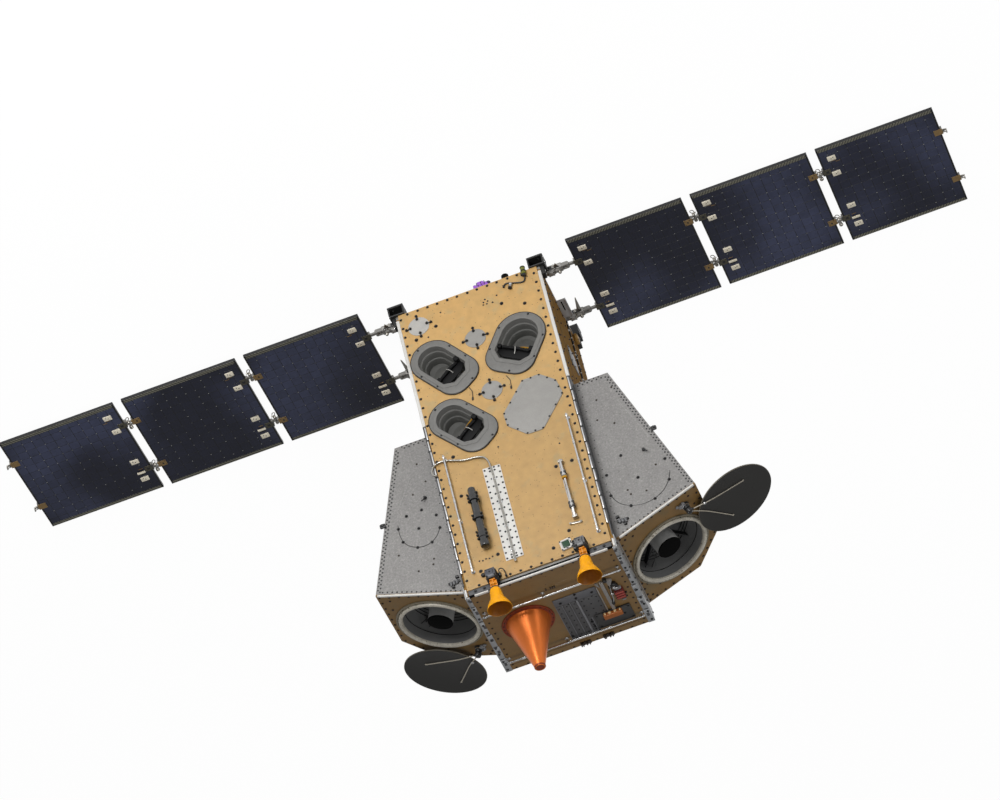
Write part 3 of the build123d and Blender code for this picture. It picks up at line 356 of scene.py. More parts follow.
# plain coats; columns: material, screen colour, roughness, metal, mottle, patch size, grain
COATS = {
    "frame_grey": ("frame_grey_coat", (150, 148, 144)),
    "white": ("white_coat", (222, 220, 215), 0.45),
    "dark": ("dark_fitting_coat", (38, 38, 39), 0.4, 0.0, 0.08, 0.12, 0.15),
    "steel_dull": ("deck_rail_coat", (160, 158, 152), 0.5, 0.0, 0.15, 0.02, 0.12),
    "copper": ("copper_metal", (222, 116, 44), 0.36, 0.55, 0.12, 0.05),
    "deck_dark": ("deck_dark_coat", (58, 52, 44), 0.42, 0.0, 0.08, 0.12, 0.12),
    "lid": ("lid_coat", (46, 45, 43), 0.5, 0.0, 0.12, 0.12, 0.14),
    "purple": ("unit_purple_coat", (96, 74, 128), 0.45, 0.0, 0.08, 0.12, 0.15),
    "strap_gold": ("strap_coat", (176, 128, 30), 0.35, 0.5, 0.2, 0.02),
    "brass": ("brass_ring", (208, 158, 52), 0.25, 0.9),
    "horn_orange": ("horn_neck_coat", (230, 142, 4), 0.34, 0.0, 0.15, 0.02),
    "horn_inside": ("horn_inside_coat", (172, 104, 6), 0.5, 0.0, 0.25, 0.02, 0.2),
    "rust": ("rust_ring", (136, 54, 20), 0.42, 0.2, 0.2, 0.03, 0.15),
    "bracket_shade": ("bracket_blue_coat", (82, 84, 92), 0.4, 0.0, 0.2, 0.02, 0.15),
    "bracket_grey": ("bracket_grey_coat", (146, 146, 148), 0.4, 0.0, 0.15, 0.02, 0.12),
    "bracket_cap": ("bracket_cap_coat", (112, 112, 114), 0.4, 0.0, 0.2, 0.02, 0.15),
    "chip_green": ("chip_green_coat", (22, 66, 40), 0.4, 0.0, 0.2, 0.01, 0.3),
    "grille_band": ("grille_band_coat", (96, 96, 100), 0.42, 0.0, 0.12, 0.05, 0.12),
    "grille_rib": ("grille_rib_coat", (128, 128, 132), 0.38, 0.0, 0.12, 0.12, 0.12),
    "feed": ("feed_coat", (56, 55, 54), 0.45, 0.0, 0.15, 0.04, 0.2),
    "feed_block": ("feed_block_coat", (176, 98, 34), 0.35, 0.2, 0.2, 0.02, 0.12),
    "contact": ("contact_coat", (250, 218, 160), 0.3, 0.0, 0.1, 0.01),
    "red": ("red_coat", (112, 30, 26), 0.4, 0.0, 0.2, 0.02, 0.15),
    "red_rib": ("red_rib_coat", (170, 62, 50), 0.4, 0.0, 0.15, 0.02, 0.12),
    "bar_silver": ("flat_bar_coat", (158, 154, 150), 0.36, 0.2, 0.12, 0.03),
    "flange": ("flange_coat", (170, 172, 174), 0.36, 0.25, 0.2, 0.04, 0.12),
    "rust_dark": ("bracket_rust_coat", (54, 42, 32), 0.55, 0.0, 0.3, 0.01, 0.3),
    "strut": ("strut_coat", (196, 188, 172), 0.3, 0.3, 0.15, 0.02),
    "lid_rim": ("lid_rim_coat", (104, 98, 86), 0.4, 0.0, 0.2, 0.03, 0.15),
    "hinge_gold": ("hinge_gold_coat", (128, 102, 66), 0.36, 0.35, 0.25, 0.01, 0.15),
    "plug_green": ("plug_green_coat", (112, 116, 34), 0.4, 0.0, 0.15, 0.01),
    "purple_dark": ("unit_dark_coat", (58, 40, 78), 0.45, 0.0, 0.2, 0.01, 0.2),
    "purple_lump": ("unit_lump_coat", (166, 104, 214), 0.4, 0.0, 0.2, 0.01, 0.15),
    "actuator": ("actuator_coat", (178, 176, 172), 0.4, 0.15, 0.15, 0.02, 0.15),
    "fin_grey": ("fin_coat", (196, 196, 198), 0.45, 0.0, 0.1, 0.03, 0.1),
    "gold_box": ("gold_box_coat", (176, 136, 66), 0.36, 0.4, 0.2, 0.01),
}
FINISHES = {key: coated(name, rgb(*color), *levels) for key, (name, color, *levels) in COATS.items()}
# brown: a darker copy of the tan coat, partly painted shade for the upward deck and the aperture faces
# painted shade: the side panels get a darker, duller copy of the tan coat for the shade they lie in
FINISHES.update({"tan": tan_panel("tan_coat", rgb(193, 158, 102), painted_light_rise=0.22),
    "brown": tan_panel("deck_and_pod_face_shade_coat", rgb(138, 108, 62)), "side_painted_shade": tan_panel("side_painted_shade_coat",
    rgb(158, 122, 68), coat=0.0, shine=0.06, rough=0.8), "foot": coated("foot_black_coat", rgb(34, 34, 34),
    0.55, grain=0.15, worn=rgb(90, 88, 84), wear=0.02), "cover": coated("cover_grey_coat", rgb(190, 188, 183),
    0.48, mottle=0.07, patch=0.05, grain=0.07, speck=0.006), "octagon": coated("octagon_coat",
    rgb(157, 155, 151), 0.48, mottle=0.1, patch=0.06, grain=0.08, speck=0.008),
    "steel": brushed("steel_bar", rgb(200, 200, 200), 0.28), "gold": coated("horn_coat", rgb(250, 170, 0), 0.4,
    mottle=0.1, patch=0.04, Specular_IOR_Level=0.25), "pod": speckled_grey("pod_coat", rgb(142, 140, 138)),
    "cream": coated("telescope_coat", rgb(206, 200, 186), 0.42, 0.1, mottle=0.4, patch=0.03, grain=0.12,
    worn=rgb(120, 108, 88), wear=0.12), "silver": brushed("hinge_metal", rgb(176, 172, 164), 0.32, "Y"),
    "tracker": recess_painted_shade("tracker_coat", rgb(119, 118, 115), rgb(88, 88, 85), -0.4), })
for side_name, side in SIDES:
    for number in range(3):
        name = f"wing_{side_name}_panel_{number + 1}"
        FINISHES[name] = solar_cells(f"cells_{side_name}_{number + 1}", side,
            PANEL_START + number * PANEL_PITCH)

FINISHES.update({
    "black": coated("bolt_black_coat", rgb(24, 24, 25), 0.35, grain=0.2, bump=0.0001),
    "shutter": coated("shutter_coat", rgb(13, 13, 14), 0.6, grain=0.2, Specular_IOR_Level=0.2),
    "pipe_steel": brushed("pipe_metal", rgb(168, 166, 160), 0.26),
})

NODE_FINISHES = {
    "tan": "front_panel back_panel",
    "brown": "instrument_deck pod_face_right pod_face_left",
    "side_painted_shade": "side_panel_right side_panel_left",
    "frame_grey": "front_frame base_panel wing_arms_right wing_arms_left",
    "white": "corner_rails strip_and_pipe",
    "cover": "deck_flanges cover_plates horn_brackets",
    "foot": "corner_feet",
    "tracker": "tracker_upper_right tracker_upper_left tracker_lower_right",
    "dark": "dispenser_tube lid_post_right lid_post_left base_connectors side_units",
    "steel": "strut_link front_handrails",
    "steel_dull": "deck_handrails",
    "gold": "horn_right horn_left",
    "copper": "copper_cone deck_units",
    "deck_dark": "deck_plates",
    "pod": "pod_shell_right pod_shell_left",
    "cream": "telescope_right telescope_left",
    "lid": "telescope_hub_right telescope_hub_left lid_right lid_left",
    "purple": "purple_unit",
}
FINISH_OF = {node: finish for finish, names in NODE_FINISHES.items() for node in names.split()}
for name, piece in nodes.items():
    key = name if name in FINISHES else FINISH_OF.get(name, "silver")
    for slot in piece.material_slots:
        slot.material = FINISHES[key]


# ---- studio ----
def area_lamp(name, place, aim, size, power):
    """Square soft lamp at place, turned to aim."""
    lamp = bpy.data.lights.new(name, "AREA")
    lamp.shape = "SQUARE"
    lamp.size = size
    lamp.energy = power
    holder = bpy.data.objects.new(name, lamp)
    back = (np.array(place) - np.array(aim)) / np.linalg.norm(np.array(place) - np.array(aim))
    side = np.cross((0.0, 0.0, 1.0), back)
    side /= np.linalg.norm(side)
    up = np.cross(back, side)
    holder.matrix_world = placed(side, up, back, place)
    bpy.context.scene.collection.objects.link(holder)


FLOOR_REACH = 60.0
PLAIN_WHITE = 0.94            # share of even white in the floor as the camera sees it


def floor():
    """Wide pale floor: white to the camera and in gloss, with part of the real shading kept for the shadow."""
    f = Finish("floor_white")
    size = FLOOR_REACH
    mesh = bpy.data.meshes.new("floor")
    mesh.from_pydata([(-size, -size, 0), (size, -size, 0), (size, size, 0), (-size, size, 0)], [],
        [(0, 1, 2, 3)])
    piece = bpy.data.objects.new("floor", mesh)
    bpy.context.scene.collection.objects.link(piece)
    ray = [f.node("ShaderNodeLightPath", {}, {}, label) for label in ("Is Camera Ray", "Is Glossy Ray",
        "Is Transmission Ray")]
    seen = ray[0].most(ray[1]).most(ray[2])
    white = f.node("ShaderNodeEmission", {}, {"Color": (1, 1, 1, 1), "Strength": 1.03})
    matte = f.node("ShaderNodeBsdfDiffuse", {}, {"Color": (0.86, 0.86, 0.86, 1)})
    both = f.node("ShaderNodeMixShader", {}, {0: PLAIN_WHITE * seen, 1: matte, 2: white})
    f.node("ShaderNodeOutputMaterial", {}, {"Surface": both})
    mesh.materials.append(f.material)


def studio():
    """Even grey surroundings, a large lamp before the craft and weaker ones over and beside it."""
    world = bpy.data.worlds.new("studio")
    bpy.context.scene.world = world
    world.use_nodes = True
    world.node_tree.nodes["Background"].inputs["Color"].default_value = (1, 1, 1, 1)
    world.node_tree.nodes["Background"].inputs["Strength"].default_value = 0.24
    area_lamp("front_lamp", (1.5, -9.0, 1.7), (0, 0, 1.3), 3.2, 460)
    area_lamp("side_lamp", (-9.0, -6.0, 4.0), (0, 0, 1.3), 4.0, 160)
    area_lamp("deck_lamp", (-1.0, 2.0, 11.0), (0, 0, 1.0), 5.0, 130)


floor()
studio()

# painted light: bowl and hub are made paler than their metal so that they look lit inside the shaded bore
FINISHES.update({"gloss_black": coated("gloss_black_coat", rgb(20, 21, 21), 0.16, grain=0.12, mottle=0.2,
    patch=0.02, Coat_Weight=0.6), "grille": coated("grille_coat", rgb(78, 77, 78), 0.45, grain=0.14,
    mottle=0.14, patch=0.05, speck=0.005), "bowl": coated("bowl_painted_light_coat", rgb(128, 128, 128), 0.36, mottle=0.08,
    patch=0.08, grain=0.06, Coat_Weight=0.15), "hub": coated("hub_painted_light_coat", rgb(196, 196, 194), 0.34, mottle=0.08,
    patch=0.05, grain=0.06, Coat_Weight=0.2), "void": coated("void_black", rgb(9, 9, 9), 0.8, grain=0.2,
    Specular_IOR_Level=0.08), "bezel_olive": coated("bezel_olive_coat", rgb(138, 130, 112), 0.45, mottle=0.2,
    patch=0.03, grain=0.12, worn=rgb(80, 72, 58), wear=0.1), "strip_dark": coated("strip_dark_coat",
    rgb(78, 78, 80), 0.5, grain=0.2, mottle=0.2, patch=0.02, worn=rgb(130, 130, 130), wear=0.06),
    "cream_pad": coated("cream_pad_coat", rgb(255, 246, 224), 0.5, mottle=0.12, patch=0.01, grain=0.1,
    worn=rgb(126, 92, 58), wear=0.06), "pod_end": speckled_grey("pod_end_coat", rgb(150, 148, 146)), })


# ---- shapes ----
# A shape is (points, faces): an array of N x 3 and a list of index tuples.
def grid(points, wrap_u=False, wrap_v=False, caps=False):
    """Quads over a U x V array of points; wrap joins the last row or column to the first.
    caps closes the first and last V rings with one face each."""
    count_u, count_v = points.shape[:2]
    number = np.arange(count_u * count_v).reshape(count_u, count_v)
    if wrap_u:
        number = np.vstack((number, number[:1]))
    if wrap_v:
        number = np.hstack((number, number[:, :1]))
    quads = np.stack((number[:-1, :-1], number[1:, :-1], number[1:, 1:], number[:-1, 1:]), -1).reshape(-1, 4)
    faces = [tuple(quad) for quad in quads.tolist()]
    if caps:
        ring = np.arange(count_u) * count_v
        faces += [tuple((ring[::-1]).tolist()), tuple((ring + count_v - 1).tolist())]
    return points.reshape(-1, 3), faces


def lathe(profile, sides=48, turn=0.0):
    """Profile of (radius, height) pairs turned about Z: (r cos t, r sin t, h).
    Points on the axis give tiny closed poles; the profile runs with the outside on its right."""
    profile = np.array(profile, float)
    angle = np.arange(sides) * 2 * pi / sides + turn
    radius = np.maximum(profile[:, 0], 1e-5)
    points = np.stack((np.outer(np.cos(angle), radius), np.outer(np.sin(angle), radius),
        np.tile(profile[:, 1], (sides, 1))), -1)
    closed = np.allclose(profile[0], profile[-1])
    if closed:
        return grid(points[:, :-1], wrap_u=True, wrap_v=True)
    return grid(points, wrap_u=True, caps=True)


def spun(profile, sides=48):
    """The same with the profile in millimetres."""
    return lathe(np.array(profile) / 1000, sides)


def rounded(profile, radius, steps=4):
    """Open polyline of (a, b) corners with every inner corner cut by an arc-like quadratic curve.
    Each corner P is replaced by (1-t)^2 A + 2t(1-t) P + t^2 B between points A, B radius away from it."""
    corners = np.array(profile, float)
    result = [corners[0]]
    share = np.linspace(0, 1, steps + 1)[:, None]
    for before, corner, after in zip(corners[:-2], corners[1:-1], corners[2:]):
        reach = [min(radius, 0.45 * np.linalg.norm(end - corner)) for end in (before, after)]
        first = corner + (before - corner) / max(np.linalg.norm(before - corner), 1e-9) * reach[0]
        last = corner + (after - corner) / max(np.linalg.norm(after - corner), 1e-9) * reach[1]
        result.extend((1 - share) ** 2 * first + 2 * share * (1 - share) * corner + share ** 2 * last)
    result.append(corners[-1])
    return np.array(result)


def outline_corners(corners, radius, steps=5):
    """Closed outline through 2-D corners, each rounded by the same quadratic curve as rounded()."""
    corners = np.array(corners, float)
    looped = np.vstack((corners[-1:], corners, corners[:1]))
    return rounded(looped, radius, steps)[1:-1]


def inset(outline, amount):
    """Closed 2-D outline moved inwards: each point goes along the mean normal of its two edges."""
    before, after = np.roll(outline, 1, 0), np.roll(outline, -1, 0)
    along = after - before
    along /= np.maximum(np.linalg.norm(along, axis=1, keepdims=True), 1e-9)
    area = np.sum(outline[:, 0] * after[:, 1] - after[:, 0] * outline[:, 1])
    return outline + np.stack((-along[:, 1], along[:, 0]), -1) * amount * np.sign(area)


def loft(outline, rings, closed=False):
    """Rings of one outline: each (amount, height) gives the outline inset by amount at that height."""
    area = np.sum(outline[:, 0] * np.roll(outline[:, 1], -1) - np.roll(outline[:, 0], -1) * outline[:, 1])
    if area < 0:
        outline = outline[::-1]
    points = np.stack([np.column_stack((inset(outline, amount), np.full(len(outline), height)))
        for amount, height in rings], 1)
    return grid(points, wrap_u=True, wrap_v=closed, caps=not closed)


def slab(outline, low, high, edge=0.0015):
    """Flat part with a small rounded edge round both faces."""
    return loft(outline, [(edge, low), (0, low + edge), (0, high - edge), (0.3 * edge, high - 0.3 * edge),
        (edge, high)])


def oblong(x0, x1, y0, y1, radius, steps=2):
    """Outline of an upright rectangle with rounded corners."""
    return outline_corners([(x0, y0), (x1, y0), (x1, y1), (x0, y1)], radius, steps)


def rectangle(half_x, half_y, radius, steps=2):
    """The same about the origin."""
    return oblong(-half_x, half_x, -half_y, half_y, radius, steps)


def box(xa, xb, y0, y1, z0, z1, edge=0.0015):
    """Rectangular part with rounded edges and corners; its X limits come in either order."""
    x0, x1 = sorted((xa, xb))
    return slab(oblong(x0, x1, y0, y1, 2 * edge), z0, z1, edge)


def block(*limits_and_edge):
    """box() with all its numbers in millimetres."""
    return box(*(number / 1000 for number in limits_and_edge))


def tube(path, radius, sides=12):
    """Round tube along 3-D points: a ring of radius at each point, square to the mean direction there,
    with its frame carried from ring to ring."""
    path = np.array(path, float)
    radius = np.broadcast_to(np.asarray(radius, float), len(path))
    along = np.gradient(path, axis=0)
    along /= np.linalg.norm(along, axis=1, keepdims=True)
    normal = np.cross(along[0], (0.31, 0.53, 0.79))
    rings, angle = [], np.arange(sides) * 2 * pi / sides
    for point, way, size in zip(path, along, radius):
        normal = normal - way * np.dot(normal, way)
        normal /= np.linalg.norm(normal)
        other = np.cross(way, normal)
        rings.append(point + size * (np.outer(np.cos(angle), normal) + np.outer(np.sin(angle), other)))
    return grid(np.stack(rings, 1), wrap_u=True, caps=True)


def bent_tube(corners, bend, radius, sides=12, steps=6):
    """Round tube along a route whose corners are rounded as rounded() does it."""
    return tube(rounded(corners, bend, steps), radius, sides)


def moved(shape, origin=(0, 0, 0), across=(1, 0, 0), up=(0, 0, 1)):
    """Shape carried to a frame: its X goes along across and its Z along up."""
    across, up = np.array(across, float), np.array(up, float)
    up /= np.linalg.norm(up)
    across = across - up * np.dot(across, up)
    across /= np.linalg.norm(across)
    turn = np.stack((across, np.cross(up, across), up))
    points, faces = one(shape)
    return points @ turn + np.array(origin, float), faces


def joined(*shapes):
    """Several shapes as one."""
    points, faces, count = [], [], 0
    for part in shapes:
        points.append(part[0])
        faces.extend(tuple(index + count for index in face) for face in part[1])
        count += len(part[0])
    return np.vstack(points), faces


def one(shape):
    """A shape as it is, or a list of shapes joined."""
    return joined(*shape) if isinstance(shape, list) else shape


def spread(shape, places, turns=None):
    """One shape repeated at every place (N x 3), turned about Z by each of turns."""
    places = np.array(places, float).reshape(-1, 3)
    turns = np.zeros(len(places)) if turns is None else np.array(turns, float)
    points, faces = shape
    cosine, sine = np.cos(turns)[:, None], np.sin(turns)[:, None]
    x, y, z = points[:, 0][None], points[:, 1][None], points[:, 2][None]
    everywhere = np.stack((x * cosine - y * sine, x * sine + y * cosine, z + 0 * cosine), -1) + places[:, None]
    count = len(points)
    many = [tuple(index + copy * count for index in face) for copy in range(len(places)) for face in faces]
    return everywhere.reshape(-1, 3), many


def turned(shape, angle):
    """One shape turned about Z by an angle in radians."""
    return spread(shape, [(0, 0, 0)], [angle])


def raised(places, height):
    """Points (x, y) as N x 3 at one height; points that have their own z keep it."""
    places = np.array([*places], float)
    if places.shape[1] == 3:
        return places
    return np.column_stack((places, np.full(len(places), height)))


def circle(radius, count, height, start=0.0):
    """Count points evenly round a circle about Z: (r cos t, r sin t, height)."""
    angles = np.arange(count) * 2 * pi / count + start
    return np.column_stack((radius * np.cos(angles), radius * np.sin(angles), np.full(count, height)))


def hex_bolt(radius, height):
    """Low six-sided head with a bevelled top on a thin round washer."""
    washer = lathe([(radius * 1.45, 0), (radius * 1.45, height * 0.2), (radius * 0.9, height * 0.24)], 8)
    head = lathe([(radius, 0), (radius, height * 0.8), (radius * 0.78, height)], 6)
    return joined(washer, head)


def rivet(radius, height):
    """Low domed head: an eight-sided cap of three rings."""
    return lathe([(radius, 0), (radius * 0.92, height * 0.5), (radius * 0.5, height * 0.95)], 8)


def bolts(radius, height, places, level=0.0):
    """A bolt head at every place."""
    return spread(hex_bolt(radius, height), raised(places, level))


def rivets(radius, height, places, level=0.0):
    """A low domed head at every place."""
    return spread(rivet(radius, height), raised(places, level))


# the record's slot for each finish, where a piece names no other
SLOTS = {
    "cells_navy": "cream_pad",
    "copper": "copper feed_block rust",
    "cover_grey": "chip_green cover fin_grey flange octagon",
    "dark_fitting": "bracket_cap gloss_black gold_box plug_green red red_rib",
    "deck_dark": "feed grille grille_band grille_rib rust_dark",
    "foot_black": "black dark deck_dark strip_dark void",
    "frame_grey": "actuator",
    "hinge_silver": "hinge_gold silver",
    "horn_gold": "gold horn_inside horn_orange",
    "lid_grey": "hub lid lid_rim strut",
    "pod_grey": "pod_end",
    "rail_white": "white",
    "steel": "bar_silver bracket_grey brass pipe_steel steel",
    "telescope_cream": "bezel_olive bowl contact cream",
    "tracker_black": "shutter strap_gold tracker",
    "unit_purple": "purple_dark purple_lump",
}
SLOT_OF = {finish: slot for slot, finishes in SLOTS.items() for finish in finishes.split()}


def piece(name, shape, finish, body="bus", slot=None, replaces=(), smooth=40.0):
    """Mesh object of a shape in the shared frame, with its finish and body; its record slot is looked up but
    not given to it.
    """
    points, faces = one(shape)
    mesh = bpy.data.meshes.new(name)
    mesh.from_pydata(points.tolist(), [], faces)
    mesh.polygons.foreach_set("use_smooth", np.ones(len(mesh.polygons), bool))
    mesh.set_sharp_from_angle(angle=radians(smooth))
    mesh.materials.append(FINISHES[finish])
    mesh.validate()
    made = bpy.data.objects.new(name, mesh)
    bpy.context.scene.collection.objects.link(made)
    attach(made, body)
    slot or SLOT_OF[finish]
    if replaces:
        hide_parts(*replaces)


# ---- frames of the craft's faces ----
FRONT, BACK, WALL = -0.47, 0.47, 0.52
DECK = 2.5
TILT = radians(20.0)


def on_front(shape, x=0.0, z=0.0, angle=0.0, y=FRONT):
    """Shape set on the front face: its Z points out of the face, its X at angle degrees from +X towards +Z."""
    turn = radians(angle)
    return moved(shape, (x, y, z), (cos(turn), 0, sin(turn)), (0, -1, 0))


def deck_box(xa, xb, y0, y1, low, high, edge=0.0015):
    """Box whose heights are over the deck."""
    return box(xa, xb, y0, y1, DECK + low, DECK + high, edge)


def deck_block(*limits_and_edge):
    """deck_box() with all its numbers in millimetres."""
    return deck_box(*(number / 1000 for number in limits_and_edge))


def on_back(shape, x=0.0, z=0.0, y=BACK):
    """Shape set on a back face: its Z points out of the face, its X towards -X."""
    return moved(shape, (x, y, z), (-1, 0, 0), (0, 1, 0))


def on_side(shape, side, y, z, out=WALL):
    """Shape set on a side wall: its Z points out of the wall, its X towards +Y."""
    return moved(shape, (side * out, y, z), (0, 1, 0), (side, 0, 0))


def on_pod_face(shape, side, slope, y, height=0.0, bearing=0.0):
    """Shape set on a pod's aperture face, its X at bearing degrees from the outward slope towards +Y."""
    origin = (side * (0.52 + slope * cos(TILT) + height * sin(TILT)), y,
        2.376 - slope * sin(TILT) + height * cos(TILT))
    turn = radians(bearing)
    outward = np.array((side * cos(TILT), 0, -sin(TILT)))
    return moved(shape, origin, cos(turn) * outward + sin(turn) * np.array((0, 1, 0)),
        (side * sin(TILT), 0, cos(TILT)))


def row(start, end, count):
    """Count points evenly from start to end."""
    share = np.linspace(0, 1, count)[:, None]
    return np.array(start, float) * (1 - share) + np.array(end, float) * share


def front_bolts(name, radius, height, places, level=0.0):
    """Black bolts at places (x, z) on the front face."""
    piece(name, on_front(bolts(radius, height, places, level)), "black")


# ---- front face ----
# columns: name, x, z, angle of the long axis, length, width
TRACKERS = (
    ("tracker_upper_right", 0.281, 0.633, 125.7, 0.519, 0.318),
    ("tracker_upper_left", -0.24, 0.648, 57.0, 0.49, 0.36),
    ("tracker_lower_right", 0.256, 1.148, 128.9, 0.519, 0.31),
)
BEARINGS = np.arange(112) * 2 * pi / 112        # of the points round a tracker's rings


def radial(outline, angles):
    """Points of a convex outline at given bearings from its middle: the nearest crossing of each ray
    with the line of any edge, r = min over edges of c / (n . d)."""
    ahead = np.roll(outline, -1, 0) - outline
    keep = np.linalg.norm(ahead, axis=1) > 1e-7
    normal = np.stack((ahead[keep, 1], -ahead[keep, 0]), -1)
    normal /= np.linalg.norm(normal, axis=1, keepdims=True)
    reach = np.sum(normal * outline[keep], axis=1)
    normal *= np.sign(reach)[:, None]
    ray = np.stack((np.cos(angles), np.sin(angles)), -1)
    facing = ray @ normal.T
    radius = np.min(np.where(facing > 1e-6, np.abs(reach) / np.maximum(facing, 1e-6), 9.0), axis=1)
    return ray * radius[:, None]


def bezel_outline(length, width, grow=0.0):
    """Long plate, fully round at the head end (-X) and with 125 mm corners at the tail."""
    half, end = width / 2 + grow, length / 2 + grow
    arc = np.linspace(pi / 2, 3 * pi / 2, 25)
    head = np.stack((half * np.cos(arc) - (end - half), half * np.sin(arc)), -1)
    corner = 0.125 + grow
    low = np.linspace(-pi / 2, 0, 9)
    tail = np.stack((end - corner + corner * np.cos(low), -(half - corner) + corner * np.sin(low)), -1)
    return np.vstack((head, tail, tail[::-1] * (1, -1)))


def eye_outline(length, width, grow=0.0):
    """Aperture: round head and a tail with two cut corners, grown outwards by grow."""
    half = width / 2 - 0.05 + grow
    tail = length / 2 - 0.102 + grow
    head = width / 2 - 0.05 - (length / 2 - 0.056)
    cut = 0.054 + grow * 0.586
    arc = np.linspace(pi / 2, 3 * pi / 2, 25)
    round_end = np.stack((head + half * np.cos(arc), half * np.sin(arc)), -1)
    flat_end = [(tail - cut, -half), (tail, cut - half), (tail, half - cut), (tail - cut, half)]
    return np.vstack((round_end, flat_end))


def tracker(length, width):
    """Bezel, raised land and stepped cup as one surface: rings of outlines at falling depths, same bearings."""
    plate = [(0.0, 0.0), (0.0, 0.006), (-0.003, 0.0068), (-0.0032, 0.0112), (-0.0055, 0.013)]
    cup = [(0.031, 0.013), (0.0295, 0.0165), (0.028, 0.017), (0.003, 0.017), (0.0008, 0.016), (0.0, 0.013),
        (-0.003, -0.03), (-0.005, -0.0325), (-0.01, -0.034), (-0.0125, -0.037), (-0.018, -0.084),
        (-0.02, -0.0865), (-0.026, -0.088), (-0.0285, -0.091), (-0.036, -0.141)]
    rings = [(bezel_outline, *ring) for ring in plate] + [(eye_outline, *ring) for ring in cup]
    points = [raised(radial(shape(length, width, grow), BEARINGS), height) for shape, grow, height in rings]
    cup = grid(np.stack(points, 1), wrap_u=True)
    floor_disc = spun([(200, -143), (200, -141), (0, -141)], 32)
    disc = spun([(78, -142), (78, -130), (74, -127), (50, -126), (46, -122), (0, -120)], 48)
    floor_disc = (floor_disc[0] * ((length / 2 - 0.06) / 0.2, (width / 2 - 0.06) / 0.2, 1), floor_disc[1])
    return joined(cup, floor_disc, (disc[0] + (-0.04, 0, 0), disc[1]))


def tracker_parts(name, x, z, angle, length, width):
    """One tracker with its bolts, shutter, link rod and strap."""
    def add(part, shape, finish, **more):
        piece(f"{name}_{part}", on_front(shape, x, z, angle), finish, **more)

    add("bezel", tracker(length, width), "tracker", replaces=[name], smooth=50)
    half = width / 2 - 0.051
    rims = [(-0.004, 0.0), (0.0015, 0.0), (0.0015, 0.012), (0.0005, 0.0127), (-0.004, 0.0127), (-0.004, 0.0)]
    rims = [raised(radial(bezel_outline(length, width, grow), BEARINGS), height) for grow, height in rims]
    gasket = grid(np.stack(rims, 1), wrap_u=True)
    add("gasket", gasket, "black", slot="tracker_black")
    flap = slab(outline_corners([(0.02, -half), (0.078, -half), (0.109, 0.052 - half), (0.109, half - 0.052),
        (0.078, half), (0.02, half)], 0.006, 2), -0.031, -0.022, 0.002)
    lug = box(0.01, 0.046, half - 0.03, half + 0.006, -0.022, 0.012, 0.003)
    knob = box(0.026, 0.056, -half - 0.004, 0.026 - half, -0.022, 0.004, 0.003)
    fold = tube([(0.04, half - 0.03, -0.016), (0.034, 0.02, -0.012), (0.038, 0.03 - half, -0.014)],
        [0.01, 0.013, 0.011], 10)
    add("shutter", [flap, lug, knob, fold], "shutter")
    lever = tube([(0.028, -0.004, 0.002), (0.05, 0.004, -0.002), (0.078, 0.006, -0.012)], 0.0026, 8)
    add("lever", lever, "cover", slot="steel")
    if name != "tracker_upper_right":
        strap = tube([(0.012, half - 0.024, -0.022), (0.014, half - 0.075, -0.021),
            (0.02, half - 0.12, -0.024)], 0.0055, 8)
        add("strap", strap, "strap_gold")
    spots = radial(bezel_outline(length, width, -0.016), np.radians((8, 62, 118, 180, 242, 298)))
    add("bolts", bolts(0.006, 0.006, spots, 0.013), "black", slot="tracker_black")


def bezel_wires():
    """Thin lead with a small end sleeve, lying on the panel below two of the trackers."""
    y = FRONT - 0.003
    leads, sleeves = [], []
    for (x0, z0), (x1, z1) in (((-0.112, 0.88), (-0.127, 0.985)), ((0.15, 0.868), (0.144, 0.968))):
        bend = ((x0 + x1) / 2 - 0.012, y, z0 * 0.6 + z1 * 0.4)
        leads.append(bent_tube([(x0, y, z0), bend, (x1, y, z1)], 0.012, 0.0026, 8))
        sleeves.append(moved(spun([(3, 0), (6.2, 2), (6.2, 20), (3, 24)], 14), (x1, y - 0.001, z1 - 0.01),
            (0, 1, 0), (0.15, 0, 1)))
    piece("bezel_leads", leads, "black")
    piece("bezel_lead_sleeves", sleeves, "dark")


